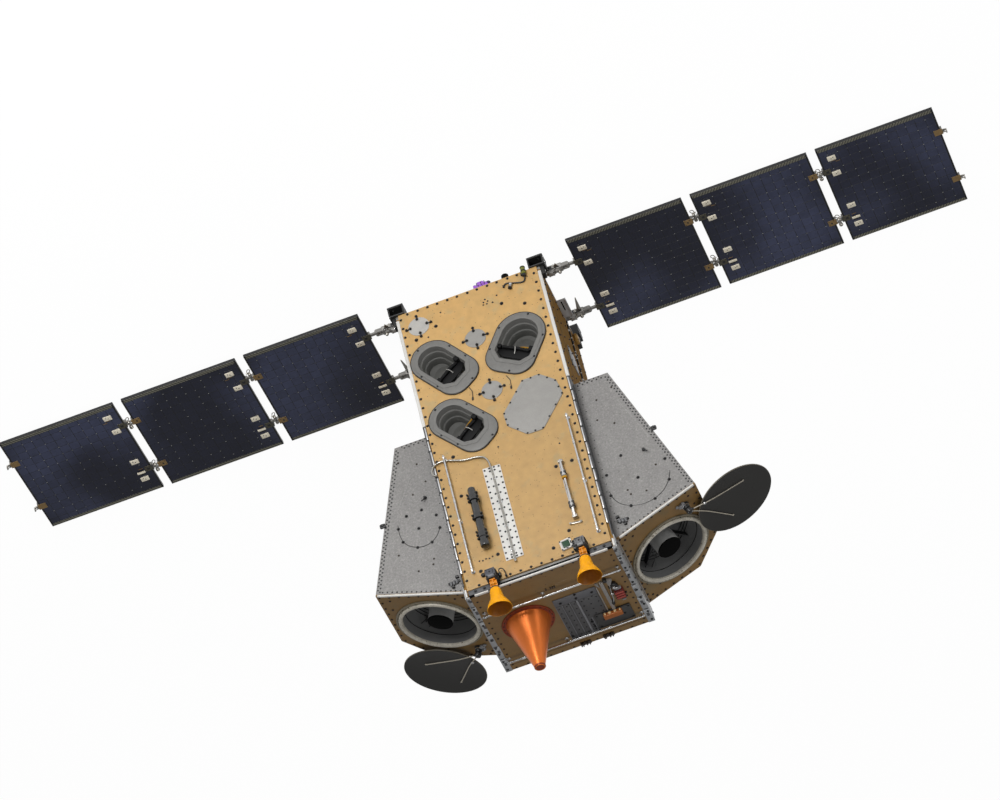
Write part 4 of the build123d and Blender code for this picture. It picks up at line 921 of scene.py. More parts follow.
def cover_parts():
    """Three round plates with turned-down rims and bolted clips, and the eight-sided plate."""
    round_cover = spun([(74, 0), (74, 4.2), (72.5, 5.2), (66, 5.4), (64, 5), (0, 5)], 64)
    covers = ((0.378, 0.233), (0.025, 0.492), (0.005, 0.954))
    plates = [on_front(round_cover, x, z) for x, z in covers]
    corners = [(-0.207, 0.962), (-0.33, 0.96), (-0.43, 1.053), (-0.452, 1.176), (-0.264, 1.405), (-0.15, 1.403),
        (-0.032, 1.281), (-0.027, 1.178)]
    strap = block(55, 92, -4.5, 4.5, 4.8, 8.8, 1)
    clips, pins = [], []
    for x, z in covers:
        for bearing in (0, 90, 180, 270):
            turn = radians(bearing)
            clips.append(on_front(turned(strap, turn), x, z))
            spots = [(r * cos(turn), r * sin(turn), 0.008 if r < 0.07 else 0.004) for r in (0.06, 0.088)]
            pins.append(on_front(bolts(0.0075, 0.012, spots), x, z))
    outline = outline_corners(corners, 0.012, 3)
    octagon = on_front(slab(outline, 0.0, 0.006, 0.002))
    inner = on_front(loft(inset(outline, 0.01), [(0.0, 0.0055), (0.001, 0.0068), (0.012, 0.0068),
        (0.013, 0.004)]))
    piece("round_cover_pale", plates[0], "cover", replaces=["cover_plates"])
    piece("round_covers", plates[1:], "octagon")
    piece("octagon_cover", [octagon, inner], "octagon")
    piece("cover_clips", clips, "black")
    piece("cover_bolts", pins, "black")
    edge = []
    for first, last in zip(corners, corners[1:] + corners[:1]):
        gap = np.hypot(first[0] - last[0], first[1] - last[1])
        count = 3 if gap > 0.25 else 2
        edge.append(row(first, last, count + 1)[:-1])
    edge = np.vstack(edge)
    middle = edge.mean(0)
    edge = middle + (edge - middle) * 0.965
    front_bolts("octagon_bolts", 0.0052, 0.005, edge, 0.006)


def panel_bolts():
    """Rows of black bolts round the front panel and the single ones on it."""
    spots = [(x, 0.1) for x in (0.434, 0.359, 0.288, 0.218, 0.145, 0.075, 0.0, -0.069, -0.143, -0.212, -0.289,
        -0.358)]
    spots += [(0.487, 0.129 + 0.0772 * step) for step in range(30)]
    spots += [(-0.474, 0.135 + 0.0772 * step) for step in range(30)]
    spots += [(0.415 - 0.0726 * step, 2.433) for step in range(12)]
    front_bolts("panel_edge_bolts", 0.007, 0.009, spots)
    singles = ((0.265, 0.279), (0.417, 0.336), (-0.208, 0.286), (-0.36, 0.351), (-0.251, 2.259),
        (-0.122, 2.351), (0.244, 2.248), (0.382, 2.332), (0.384, 1.7), (-0.39, 1.727), (-0.278, 1.731),
        (0.372, 1.372))
    front_bolts("panel_bolts", 0.0092, 0.011, singles)
    small = [(0.211, 0.181), (0.333, 0.346), (0.062, 1.418), (-0.34, 1.56), (-0.062, 1.3), (-0.19, 0.205),
        (-0.12, 0.225), (-0.105, 0.205), (-0.09, 0.225), (-0.11, 0.245), (-0.085, 0.245), (-0.15, 0.25)]
    small += [(0.282 + 0.023 * step, 2.25 + 0.006 * (step % 2)) for step in range(5)]
    front_bolts("panel_small_bolts", 0.0046, 0.004, small)
    seeds = np.random.default_rng(7)
    dots = np.column_stack((seeds.uniform(-0.46, 0.46, 90), seeds.uniform(0.13, 2.42, 90)))
    piece("panel_rivets", on_front(rivets(0.0026, 0.0012, dots)), "deck_dark")


def strip_and_pipe():
    """Perforated strip with three columns of bolts, and the pipe that comes in over its base end."""
    outline = outline_corners([(0.202, 1.552), (0.08, 1.558), (0.078, 2.325), (0.202, 2.325)], 0.004, 2)
    strip = on_front(slab(outline, 0.0, 0.006, 0.0012))
    piece("bolted_strip", strip, "white", replaces=["strip_and_pipe"])
    spots = [(x, z) for x in (0.19, 0.091) for z in np.linspace(1.572, 2.31, 17)]
    spots += [(x, z) for x in (0.157, 0.123) for z in np.linspace(1.59, 2.29, 12)]
    spots += [(x, z) for x in (0.157, 0.123) for z in (1.566, 2.312)]
    front_bolts("strip_bolts", 0.0052, 0.005, spots, 0.006)
    route = [(0.51, -0.484, 1.486), (0.53, -0.4835, 1.474), (0.538, -0.482, 1.44), (0.516, -0.483, 1.398),
        (0.46, -0.4835, 1.382), (0.4, -0.4835, 1.398), (0.309, -0.4835, 1.438), (0.216, -0.4835, 1.446),
        (0.168, -0.4835, 1.468), (0.146, -0.483, 1.512), (0.14, -0.4828, 1.62), (0.139, -0.4828, 2.0),
        (0.139, -0.4828, 2.344)]
    pipe = bent_tube(route, 0.035, 0.0068, 14, 5)
    collar = moved(spun([(9, 0), (9.5, 3), (9.5, 20), (9, 23)], 16), (0.139, -0.4828, 2.335))
    clips = [moved(block(-16, 16, -6, 6, 0, 8.5, 1), (0.14, -0.476, z), (1, 0, 0), (0, -1, 0))
        for z in (1.66, 1.86, 2.06, 2.26)]
    piece("pipe", [pipe, collar], "pipe_steel")
    piece("pipe_clips", clips, "steel")


def dispenser():
    """Dark tube between end brackets, with domed ends, three collars and side clamps."""
    y = -0.516
    body = spun([(10, 0), (19, 2), (25.5, 8), (27.5, 20), (27.5, 90), (28.5, 95), (28.5, 395), (29.5, 400),
        (32, 420), (32, 478), (30, 486), (24, 490), (10, 491.5)], 48)
    collars = [lathe([(0.026, z - 0.021), (0.034, z - 0.021), (0.0358, z - 0.019), (0.0358, z + 0.019),
        (0.034, z + 0.021), (0.026, z + 0.021)], 40) for z in (0.09, 0.245, 0.4)]
    feet = [box(-0.024, 0.024, 0.01, 0.046, z - 0.01, z + 0.01, 0.003) for z in (0.02, 0.446)]
    straps = [box(-0.034, 0.034, -0.004, 0.046, z - 0.01, z + 0.01, 0.003) for z in (0.09, 0.4)]
    shape = moved([body, *collars, *feet, *straps], (0.302, y, 1.698))
    piece("dispenser", shape, "gloss_black", replaces=["dispenser_tube"])
    lugs = [(sx * 0.033, -0.01, z) for sx in (-1, 1) for z in (0.062, 0.09, 0.118, 0.235, 0.262, 0.372, 0.4,
        0.428)]
    studs = spun([(6, 0), (7, 4), (7, 16), (5, 20)], 10)
    studs = moved(studs, (0, 0, 0), (1, 0, 0), (0, -1, 0))
    piece("dispenser_studs", moved(spread(studs, lugs), (0.302, y, 1.698)), "black", slot="dark_fitting")


def strut_link():
    """Silver strut: two rods, ringed collars, a brass ring and black clamps on small feet."""
    y = -0.504
    rod = spun([(6, 0), (9, 4), (9, 90), (12.5, 94), (16.5, 98), (16.5, 138), (12.5, 142), (7.5, 150),
        (7.5, 225), (9.5, 228), (9.5, 345), (16.5, 352), (16.5, 398), (12, 402), (8.5, 408), (8.5, 480),
        (6, 484)], 28)
    side_rod = tube([(0.012, 0.004, 0.03), (0.013, 0.004, 0.24), (0.01, 0.004, 0.46)], 0.0035, 8)
    clamps = [box(-0.02, 0.02, -0.016, 0.016, z, z + 0.02, 0.003) for z in (0.104, 0.356, 0.384)]
    feet = [box(-0.018, 0.018, -0.006, 0.034, z - 0.01, z + 0.01, 0.003) for z in (0.012, 0.472)]
    ring = spun([(17, 146), (19, 148), (19, 160), (17, 162)], 28)
    origin = (-0.318, y, 1.712)
    piece("strut_rod", moved([rod, side_rod], origin), "steel", replaces=["strut_link"])
    piece("strut_clamps", moved(clamps, origin), "dark", slot="dark_fitting")
    piece("strut_feet", moved(feet, origin), "silver", slot="steel")
    piece("strut_ring", moved(ring, origin), "brass")
    bar = on_front(block(-44, 44, -7, 7, 0, 12, 2), -0.309, 2.221, -8)
    ends = [on_front(bolts(0.006, 0.005, [(s * 0.036, 0, 0.012)]), -0.309, 2.221, -8) for s in (-1, 1)]
    piece("small_bar", [bar, *ends], "silver", slot="steel")


def handrail(start, end, drop):
    """Round rail on three waisted posts with feet; drop is the way and length to the surface."""
    a, b, drop = (np.array(part, float) for part in (start, end, drop))
    way = (b - a) / np.linalg.norm(b - a)
    ends = [a, a + way * 0.002, a + way * 0.005, b - way * 0.005, b - way * 0.002, b]
    rail = tube(ends, [0.004, 0.006, 0.007, 0.007, 0.006, 0.004], 16)
    height = np.linalg.norm(drop)
    post = lathe([(0.014, 0), (0.014, 0.003), (0.008, 0.006), (0.0058, 0.01), (0.0058, height - 0.012),
        (0.0095, height - 0.009), (0.0095, height + 0.006), (0.006, height + 0.008)], 16)
    posts = [moved(post, a + (b - a) * share + drop, way, -drop) for share in (0.02, 0.56, 0.98)]
    joints = [tube([a + (b - a) * share - way * 0.012, a + (b - a) * share + way * 0.012], 0.0088, 16)
        for share in (0.25, 0.4, 0.75, 0.88)]
    return joined(rail, *posts, *joints)


def handrails():
    """Two rails on the front face and two on the deck."""
    y = FRONT - 0.032
    z = DECK + 0.032
    for name, x, z0, z1 in (("right", 0.431, 1.354, 2.338), ("left", -0.438, 1.366, 2.362)):
        piece(f"handrail_{name}", handrail((x, y, z0), (x, y, z1), (0, 0.032, 0)), "steel",
            replaces=["front_handrails"])
    for name, yy, reach in (("front", -0.245, 0.482), ("back", 0.335, 0.488)):
        piece(f"deck_rail_{name}", handrail((-reach, yy, z), (reach, yy, z), (0, 0, -0.032)), "steel",
            replaces=["deck_handrails"])


for entry in TRACKERS:
    tracker_parts(*entry)
cover_parts()
bezel_wires()
panel_bolts()
strip_and_pipe()
dispenser()
strut_link()
handrails()


# ---- small units, sides, base and back ----
def base_units():
    """Lumpy coloured unit, dark socket, plug with its wire and the small can beside the wire."""
    x0, y0, z0 = -0.148, -0.436, 0.017
    core = box(x0 + 0.002, x0 + 0.104, y0 + 0.002, y0 + 0.058, z0 + 0.016, 0.085, 0.007)
    blocks = [box(x0 + 0.016, x0 + 0.082, y0 - 0.002, y0 + 0.052, z0 + 0.004, z0 + 0.024, 0.006),
        box(x0 - 0.004, x0 + 0.02, y0 - 0.003, y0 + 0.046, z0 + 0.014, z0 + 0.05, 0.004),
        box(x0 + 0.084, x0 + 0.106, y0 + 0.004, y0 + 0.044, z0 + 0.008, z0 + 0.04, 0.004),
        box(x0 + 0.03, x0 + 0.074, y0 - 0.001, y0 + 0.04, z0 - 0.004, z0 + 0.01, 0.004)]
    piece("unit_body", [core, *blocks], "purple_lump", replaces=["purple_unit"])
    dark = [box(x0 + 0.064, x0 + 0.069, y0 + 0.0, y0 + 0.044, z0 + 0.01, z0 + 0.036, 0.001),
        moved(spun([(8, 0), (13, 2), (13, 14), (9, 18)], 18), (x0 - 0.002, y0 + 0.006, z0 + 0.034), (1, 0, 0),
        (-0.5, -0.2, -1)), box(x0 + 0.006, x0 + 0.012, y0 - 0.001, y0 + 0.01, z0 + 0.034, z0 + 0.056, 0.001),
        moved(hex_bolt(0.0036, 0.004), (x0 + 0.04, y0 + 0.0005, z0 + 0.04), (1, 0, 0), (0, -1, 0))]
    dark += [box(x0 + x, x0 + x + 0.004, y0 - 0.0035, y0 + 0.04, z0 + 0.001, z0 + 0.03, 0.001)
        for x in (0.02, 0.044, 0.074)]
    piece("unit_details", dark, "purple_dark")
    stub = spun([(0, 36), (20, 36), (24.5, 40), (25.5, 46), (25.5, 74), (27.5, 77), (27.5, 85.2)], 28)
    piece("base_socket", moved(stub, (-0.272, -0.434, 0.0)), "void", slot="dark_fitting",
        replaces=["base_connectors"])
    plug = spun([(10, 0), (15.5, 3), (16.5, 10), (16.5, 30), (14, 34), (14, 48), (17.5, 51), (17.5, 62),
        (12, 66)], 24)
    piece("plug_body", moved(plug, (-0.409, -0.488, 0.06)), "plug_green")
    collar = [lathe([(0.0168, z), (0.0185, z + 0.001), (0.0185, z + 0.006), (0.0168, z + 0.007)], 24)
        for z in (0.006, 0.036)]
    collar.append(spun([(11, 64), (14, 66), (14, 82), (9, 86)], 20))
    collar.append(block(12, 24, -8, 8, 50, 72, 2))
    piece("plug_collars", moved(collar, (-0.409, -0.488, 0.06)), "black", slot="dark_fitting")
    y = -0.4765
    route = [(-0.409, -0.486, 0.138), (-0.404, y, 0.16), (-0.396, y, 0.178), (-0.372, y, 0.176),
        (-0.335, y, 0.163), (-0.3, y, 0.15), (-0.276, y, 0.141), (-0.262, y, 0.146), (-0.252, y, 0.16)]
    wire = bent_tube(route, 0.012, 0.0052)
    tip = moved(spun([(4, 0), (8.5, 3), (9.5, 10), (7, 17), (3, 19)], 16), (-0.2535, y + 0.001, 0.15),
        (1, 0, 0), (0.1, 0, 1))
    piece("plug_wire", [wire, tip], "black")
    can = spun([(6, 0), (12, 2), (12, 18), (8, 20), (8, 34), (4, 36)], 20)
    piece("wire_can", moved(can, (-0.304, -0.482, 0.16), (0, 1, 0), (0.35, -0.1, 1)), "steel")
    cap = spun([(9, 0), (14.5, 2), (14.5, 12), (10, 15)], 20)
    piece("wire_can_cap", moved(cap, (-0.294, -0.484, 0.186), (0, 1, 0), (0.35, -0.1, 1)), "black")


def foot_parts():
    """Pale edges, bolts and a wrap plate on the four corner feet."""
    edges, bolts = [], []
    for sx in (-1, 1):
        for sy in (-1, 1):
            x0, x1 = sorted((sx * 0.448, sx * 0.56))
            y0, y1 = sorted((sy * 0.378, sy * 0.482))
            y_out = sy * 0.482
            edges.append(tube([(x0 + 0.002, y_out, 0.004), (x1 - 0.002, y_out, 0.004)], 0.0026, 6))
            edges.append(tube([(x0 + 0.002, y_out, 0.081), (x1 - 0.002, y_out, 0.081)], 0.0026, 6))
            edges.append(tube([(sx * 0.5595, y0 + 0.002, 0.004), (sx * 0.5595, y1 - 0.002, 0.004)], 0.0026, 6))
            for z in (0.02, 0.064):
                for y in (sy * 0.398, sy * 0.462):
                    bolts.append(on_side(hex_bolt(0.0052, 0.005), sx, y, z, 0.5598))
            for z in (0.104, 0.136):
                bolts.append(on_side(hex_bolt(0.0058, 0.006), sx, sy * 0.418, z, 0.5458))
    piece("foot_edges", edges, "strip_dark")
    piece("foot_bolts", bolts, "steel", slot="foot_black")


def side_bolts():
    """Rows of small bolts on the open lower part of both side panels, seams and two plain covers on each."""
    for label, side in SIDES:
        spots = [(y, z) for z in np.arange(0.16, 1.04, 0.0735) for y in (-0.435, 0.435)]
        spots += [(y, z) for y in np.arange(-0.36, 0.4, 0.0824) for z in (0.15, 1.02)]
        spots += [(y, z) for z in np.arange(0.24, 0.98, 0.1215) for y in (-0.335, -0.145, 0.055, 0.255)]
        spots += [(-0.395, z) for z in np.arange(0.2, 1.0, 0.147)]
        heads = [on_side(hex_bolt(0.0058, 0.006), side, y, z) for y, z in spots
            if not (side < 0 and abs(y - 0.15) < 0.03)]
        piece(f"side_bolts_{label}", heads, "black")
        seam = [box(side * 0.5195, side * 0.5212, y - 0.0015, y + 0.0015, 0.12, 1.045, 0.0004)
            for y in (-0.24, 0.35)]
        piece(f"side_seams_{label}", seam, "rust_dark")
        cover = slab(rectangle(0.1, 0.075, 0.03, 5), 0.0, 0.006, 0.0015)
        screws = bolts(0.0048, 0.005, [(a * 0.084, b * 0.058, 0.0055) for a in (-1, 0, 1) for b in (-1, 1)])
        for number, (y, z) in enumerate(((-0.045, 0.62), (0.06, 0.86))):
            piece(f"side_cover_{label}_{number + 1}", on_side(cover, side, y, z), "gold_box"
                if number else "bracket_grey", slot="cover_grey")
            piece(f"side_screws_{label}_{number + 1}", on_side(screws, side, y, z), "black")


def side_units():
    """Slotted plate, small box and the laced cable on one side."""
    plate = block(-585.5, -519.5, -90, 110, 120, 132, 3)
    lip = block(-586, -580, -88, 108, 118, 142, 2)
    # painted light: the fin plate gets a paler grey than the brackets, standing in for light on its face
    piece("fin_plate", [plate, lip], "fin_grey", replaces=["side_units"])
    # painted shade: dark blocks standing for the shaded inside of the slot
    slot_dark = joined(block(-556, -548, -74, 30, 130.5, 133, 1), block(-587.2, -585.5, -70, 40, 127, 133, 0.6))
    piece("fin_slot", slot_dark, "void")
    unit = joined(block(-548, -519.5, 320, 380, 120, 180, 4), block(-551, -546, 332, 368, 132, 168, 2))
    piece("side_box", unit, "gold_box")
    pins = [on_side(hex_bolt(0.0045, 0.004), -1, y, z, 0.5478) for y in (0.326, 0.374) for z in (0.126, 0.174)]
    piece("side_box_pins", pins, "black")
    z = np.linspace(0.13, 1.04, 60)
    path = np.stack((np.full(60, -0.5262), 0.15 + 0.0025 * np.sin(z * 23.0), z), -1)
    piece("side_cable", tube(path, 0.0056, 12), "black")
    ties = [moved(spun([(5.6, -4), (7.4, -3), (7.4, 3), (5.6, 4)], 16),
        (-0.5262, 0.15 + 0.0025 * sin(level * 23.0), level)) for level in np.arange(0.16, 1.03, 0.062)]
    ties += [box(-0.53, -0.5195, 0.132, 0.168, level - 0.005, level + 0.005, 0.0015)
        for level in (0.22, 0.44, 0.66, 0.88)]
    piece("cable_ties", ties, "white")


def back_parts():
    """Back face: edge bolts, two covers, a framed panel, a vent block and a short cable run."""
    spots = [(s * 0.478, z) for s in (-1, 1) for z in np.arange(0.13, 2.44, 0.0742)]
    spots += [(x, z) for z in (0.115, 2.45) for x in np.arange(-0.42, 0.43, 0.0764)]
    spots += [(x, z) for z in (0.86, 1.64) for x in np.arange(-0.4, 0.41, 0.1143)]
    piece("back_bolts", on_back(bolts(0.007, 0.007, [(-x, z) for x, z in spots])), "black")
    seams = [box(-0.49, 0.49, z - 0.002, z + 0.002, 0.0, 0.0012, 0.0004) for z in (0.88, 1.66)]
    piece("back_seams", on_back(seams), "rust_dark")
    frame = slab(rectangle(0.26, 0.28, 0.04, 5), 0.0, 0.007, 0.002)
    sheet = slab(rectangle(0.235, 0.255, 0.03, 5), 0.006, 0.0095, 0.001)
    piece("back_frame", on_back(frame, 0.0, 1.25), "cover")
    piece("back_sheet", on_back(sheet, 0.0, 1.25), "octagon")
    ring = [(a, b) for a in np.linspace(-0.235, 0.235, 7) for b in (-0.268, 0.268)]
    ring += [(a, b) for a in (-0.248, 0.248) for b in np.linspace(-0.22, 0.22, 6)]
    piece("back_frame_bolts", on_back(bolts(0.0056, 0.005, ring, 0.007), 0.0, 1.25), "black")
    disc = spun([(0, 0), (85, 0), (85, 4), (82, 6), (0, 6)], 64)
    screws = bolts(0.006, 0.006, [(0.072 * cos(t), 0.072 * sin(t), 0.0055)
        for t in np.arange(4) * pi / 2 + 0.4])
    for number, (x, z) in enumerate(((-0.27, 2.08), (0.27, 2.08), (-0.25, 0.48))):
        piece(f"back_cover_{number + 1}", on_back(disc, x, z), "cover")
        piece(f"back_cover_screws_{number + 1}", on_back(screws, x, z), "black")
    vent = [block(-120, 120, -75, 75, 0, 6, 2)]
    slats = [box(-0.1, 0.1, h - 0.004, h + 0.004, 0.0055, 0.0095, 0.001)
        for h in np.arange(-0.055, 0.06, 0.0183)]
    piece("back_vent", on_back(vent, 0.21, 0.44), "bracket_grey", slot="cover_grey")
    piece("back_slats", on_back(slats, 0.21, 0.44), "strip_dark")
    run = [(-0.1, 0.4745, 0.16), (-0.1, 0.4745, 0.7), (0.02, 0.4745, 0.79), (0.02, 0.4745, 0.94)]
    piece("back_cable", bent_tube(run, 0.05, 0.0055), "black")
    clips = [box(-0.116, -0.084, 0.4695, 0.4815, z - 0.006, z + 0.006, 0.0015) for z in (0.24, 0.4, 0.56)]
    piece("back_clips", clips, "white")


def under_parts():
    """Underside of the base panel: a ring adapter with bolts, and edge bolts."""
    adapter = spun([(250, 86), (250, 70), (253, 67), (297, 67), (300, 70), (300, 86), (250, 86)], 96)
    piece("base_ring", adapter, "bar_silver", slot="frame_grey", smooth=30)
    turns = np.arange(24) * 2 * pi / 24
    bolts = [moved(hex_bolt(0.006, 0.006), (0.275 * cos(t), 0.275 * sin(t), 0.0672), (1, 0, 0), (0, 0, -1))
        for t in turns]
    edge = [(x, s * 0.44) for s in (-1, 1) for x in np.arange(-0.4, 0.42, 0.1143)]
    bolts += [moved(hex_bolt(0.006, 0.006), (x, y, 0.0852), (1, 0, 0), (0, 0, -1)) for x, y in edge
        if not (y < 0 and (-0.15 < x < -0.03 or abs(x + 0.272) < 0.03))]
    piece("base_bolts", bolts, "black")


base_units()
foot_parts()
side_bolts()
side_units()
back_parts()
under_parts()


# ---- horns ----
HORN_Y = -0.53


def horn_bell():
    """Open bell about Z: throat, rounded shoulder, waist, curved flare and a thin rolled lip."""
    wall = [(26.5, 2546), (30, 2546.5), (34, 2553), (37.2, 2562.5), (39.7, 2577), (42, 2600), (45.3, 2621),
        (50, 2633.5), (56.6, 2645.4), (66.8, 2662.5), (76.2, 2681.3), (81.5, 2698.5), (83.8, 2706.5),
        (83.6, 2709), (81.5, 2709.8)]
    outside = spun(wall, 64)
    return outside[0], outside[1][:-2]


def horn_parts(name, side):
    """Bell, its inside a darker orange as painted shade, clamp ring and the ribbed neck of one horn."""
    at = (side * 0.311, HORN_Y, 0)
    piece(f"{name}_bell", moved(horn_bell(), at), "gold", replaces=[name], smooth=50)
    inner = [(81.5, 2709.8), (79, 2704), (71.5, 2681.3), (62, 2662.5), (52, 2645.4), (45.5, 2633.5),
        (41.5, 2621), (38, 2600), (35.5, 2577), (33, 2560), (30, 2552), (0, 2551)]
    cup = spun(inner, 64)
    piece(f"{name}_inside", moved((cup[0], cup[1][:-2]), at), "horn_inside", smooth=50)
    ring = spun([(22, 2538.5), (30, 2538.5), (31.8, 2540), (31.8, 2546.5), (30, 2548), (22, 2548)], 32)
    lug = block(24, 46, -6, 6, 2537.5, 2548, 2)
    piece(f"{name}_ring", moved([ring, lug], at), "black", slot="horn_gold")
    angles = np.arange(48) * 2 * pi / 48
    radius = 0.015 + 0.0034 * np.cos(4 * angles)
    outline = np.stack((radius * np.cos(angles), radius * np.sin(angles)), -1)
    core = loft(outline, [(0.0, 2.47), (0.0, 2.54), (0.002, 2.542)])
    foot = slab(rectangle(0.019, 0.019, 0.003), 2.47, 2.481, 0.002)
    collar = spun([(19, 2503), (22.2, 2505), (22.2, 2514), (19, 2516)], 24)
    blades = [box(-0.0035, 0.0035, s * 0.019 - 0.0045, s * 0.019 + 0.0045, 2.478, 2.522, 0.001)
        for s in (-1, 1)]
    fins = [box(s * 0.02 - 0.005, s * 0.02 + 0.005, -0.0035, 0.0035, 2.478, 2.53, 0.001) for s in (-1, 1)]
    piece(f"{name}_neck", moved([core, foot, collar, *blades, *fins], at), "horn_orange")


def bracket_parts():
    """Boxes that carry the horns, with caps, side ribs and bolts, and the board box beside one of them."""
    # painted shade: the right cap takes a darker, bluer copy of the cap grey
    for label, side, cap_finish in (("right", 1, "bracket_shade"), ("left", -1, "bracket_cap")):
        x = side * 0.311
        body = box(x - 0.034, x + 0.034, -0.558, -0.469, 2.4, 2.467, 0.003)
        base = box(x - 0.039, x + 0.039, -0.48, -0.469, 2.394, 2.471, 0.002)
        ribs = [box(x + s * 0.0365 - 0.0025, x + s * 0.0365 + 0.0025, -0.55, -0.474, z, z + 0.01, 0.001)
            for s in (-1, 1) for z in (2.404, 2.428, 2.452)]
        chin = box(x - 0.026, x + 0.026, -0.566, -0.5, 2.46, 2.4715, 0.002)
        piece(f"horn_bracket_{label}", [body, base, chin, *ribs], "dark", slot="cover_grey",
            replaces=["horn_brackets"] if side > 0 else ())
        cap = slab(outline_corners([(-0.034, -0.034), (0.028, -0.034), (0.034, -0.028), (0.034, 0.031),
            (-0.034, 0.031)], 0.004, 2), 0.0, 0.01, 0.003)
        frame = [box(s * 0.0265 - 0.003, s * 0.0265 + 0.003, -0.026, 0.024, 0.009, 0.0135, 0.001)
            for s in (-1, 1)]
        boss = block(-13, 17, -18, 8, 9, 12.5, 1)
        piece(f"bracket_cap_{label}", on_front([cap, boss, *frame], x, 2.433, y=-0.5565), cap_finish,
            slot="cover_grey")
        spots = [(sx * 0.027, sz * 0.025, 0.011) for sx in (-1, 1) for sz in (-1, 1)] + [(0.002, -0.005,
            0.0125)]
        piece(f"bracket_bolts_{label}", on_front(bolts(0.0048, 0.005, spots[1:]), x, 2.433, y=-0.5565), "black")
        # painted shadow: thin black strips on the cap face beside and under its frame
        shade = joined(box(x - 0.022, x - 0.017, -0.569, -0.566, 2.41, 2.455, 0.001),
            box(x - 0.01, x + 0.024, -0.569, -0.566, 2.4045, 2.4095, 0.001))
        piece(f"bracket_marks_{label}", shade, "black")
    lump = block(-284, -252, -510, -469, 2372, 2440, 4)
    teeth = [box(-0.278, -0.258, -0.524, -0.506, z, z + 0.01, 0.002) for z in (2.378, 2.396, 2.414)]
    piece("bracket_block", [lump, *teeth], "black", slot="cover_grey")
    frame = slab(rectangle(0.04, 0.04, 0.004), 0.0, 0.009, 0.0015)
    walls = [box(-0.04, 0.04, s * 0.034 - 0.005, s * 0.034 + 0.005, 0.008, 0.0135, 0.0015) for s in (-1, 1)]
    posts = [box(s * 0.035 - 0.005, s * 0.035 + 0.005, -0.03, 0.03, 0.008, 0.0125, 0.0015) for s in (-1, 1)]
    piece("chip_frame", on_front([frame, *walls, *posts], -0.21, 2.36, 6), "white", slot="cover_grey")
    core = block(-25, 25, -25, 25, 8, 14, 1)
    piece("chip_core", on_front(core, -0.21, 2.36, 6), "chip_green")
    notches = [block(-38.5, -30, -12, 12, 8, 14.2, 1), block(-6, 6, 31, 39, 8, 14.2, 1)]
    pins = bolts(0.004, 0.004, [(sx * 0.034, sy * 0.034, 0.013) for sx in (-1, 1) for sy in (-1, 1)])
    piece("chip_notches", on_front([*notches, pins], -0.21, 2.36, 6), "black", slot="cover_grey")
    loop = bent_tube([(0.262, -0.486, 2.408), (0.262, -0.5, 2.386), (0.244, -0.5, 2.38), (0.226, -0.498, 2.398),
        (0.224, -0.484, 2.428), (0.224, -0.474, 2.434)], 0.018, 0.0036, 10)
    ends = joined(moved(spun([(7, 0), (8, 2), (8, 20), (6, 23)], 16), (0.224, -0.469, 2.438), (1, 0, 0),
        (0, -1, 0)), block(254, 272, -494, -469, 2402, 2428, 3))
    piece("bracket_lead", [loop, ends], "black")
    knob = spun([(12, 0), (15, 3), (15, 12), (10, 18), (4, 20)], 20)
    piece("bracket_knob", on_front(knob, 0.372, 2.372), "black")


# ---- deck ----
def cone_parts():
    """Ring with a groove and small bolts, tapering body and the open tip with its rim."""
    at = (0.231, 0.006, 0)
    ring = spun([(150, 2499.5), (180, 2499.5), (180, 2507), (178.2, 2510), (172.2, 2510), (170.5, 2507.5),
        (164, 2507.5), (162.5, 2510), (158.5, 2510.5), (150, 2510.5)], 96)
    piece("cone_ring", moved(ring, at), "rust", replaces=["copper_cone"], smooth=30)
    body = spun([(152, 2509), (152, 2513), (150, 2518), (37.5, 2868), (37.2, 2874), (36.2, 2879.5),
        (33.8, 2881), (29.5, 2881), (28.2, 2879.5), (27.5, 2870), (27.5, 2840), (0, 2838)], 96)
    piece("cone_body", moved(body, at), "copper", smooth=35)
    rim = spun([(37.2, 2866), (39.2, 2868), (39.2, 2876), (37.2, 2879)], 48)
    piece("cone_rim", moved(rim, at), "rust")
    # painted shade: a black disc inside the open tip
    hole = spun([(27, 2839.5), (27, 2840.5), (0, 2840.5)], 32)
    piece("cone_hole", moved(hole, at), "void", slot="copper")
    piece("cone_bolts", moved(bolts(0.0042, 0.0036, circle(0.1672, 24, 2.5075)), at), "rust_dark",
        slot="copper")


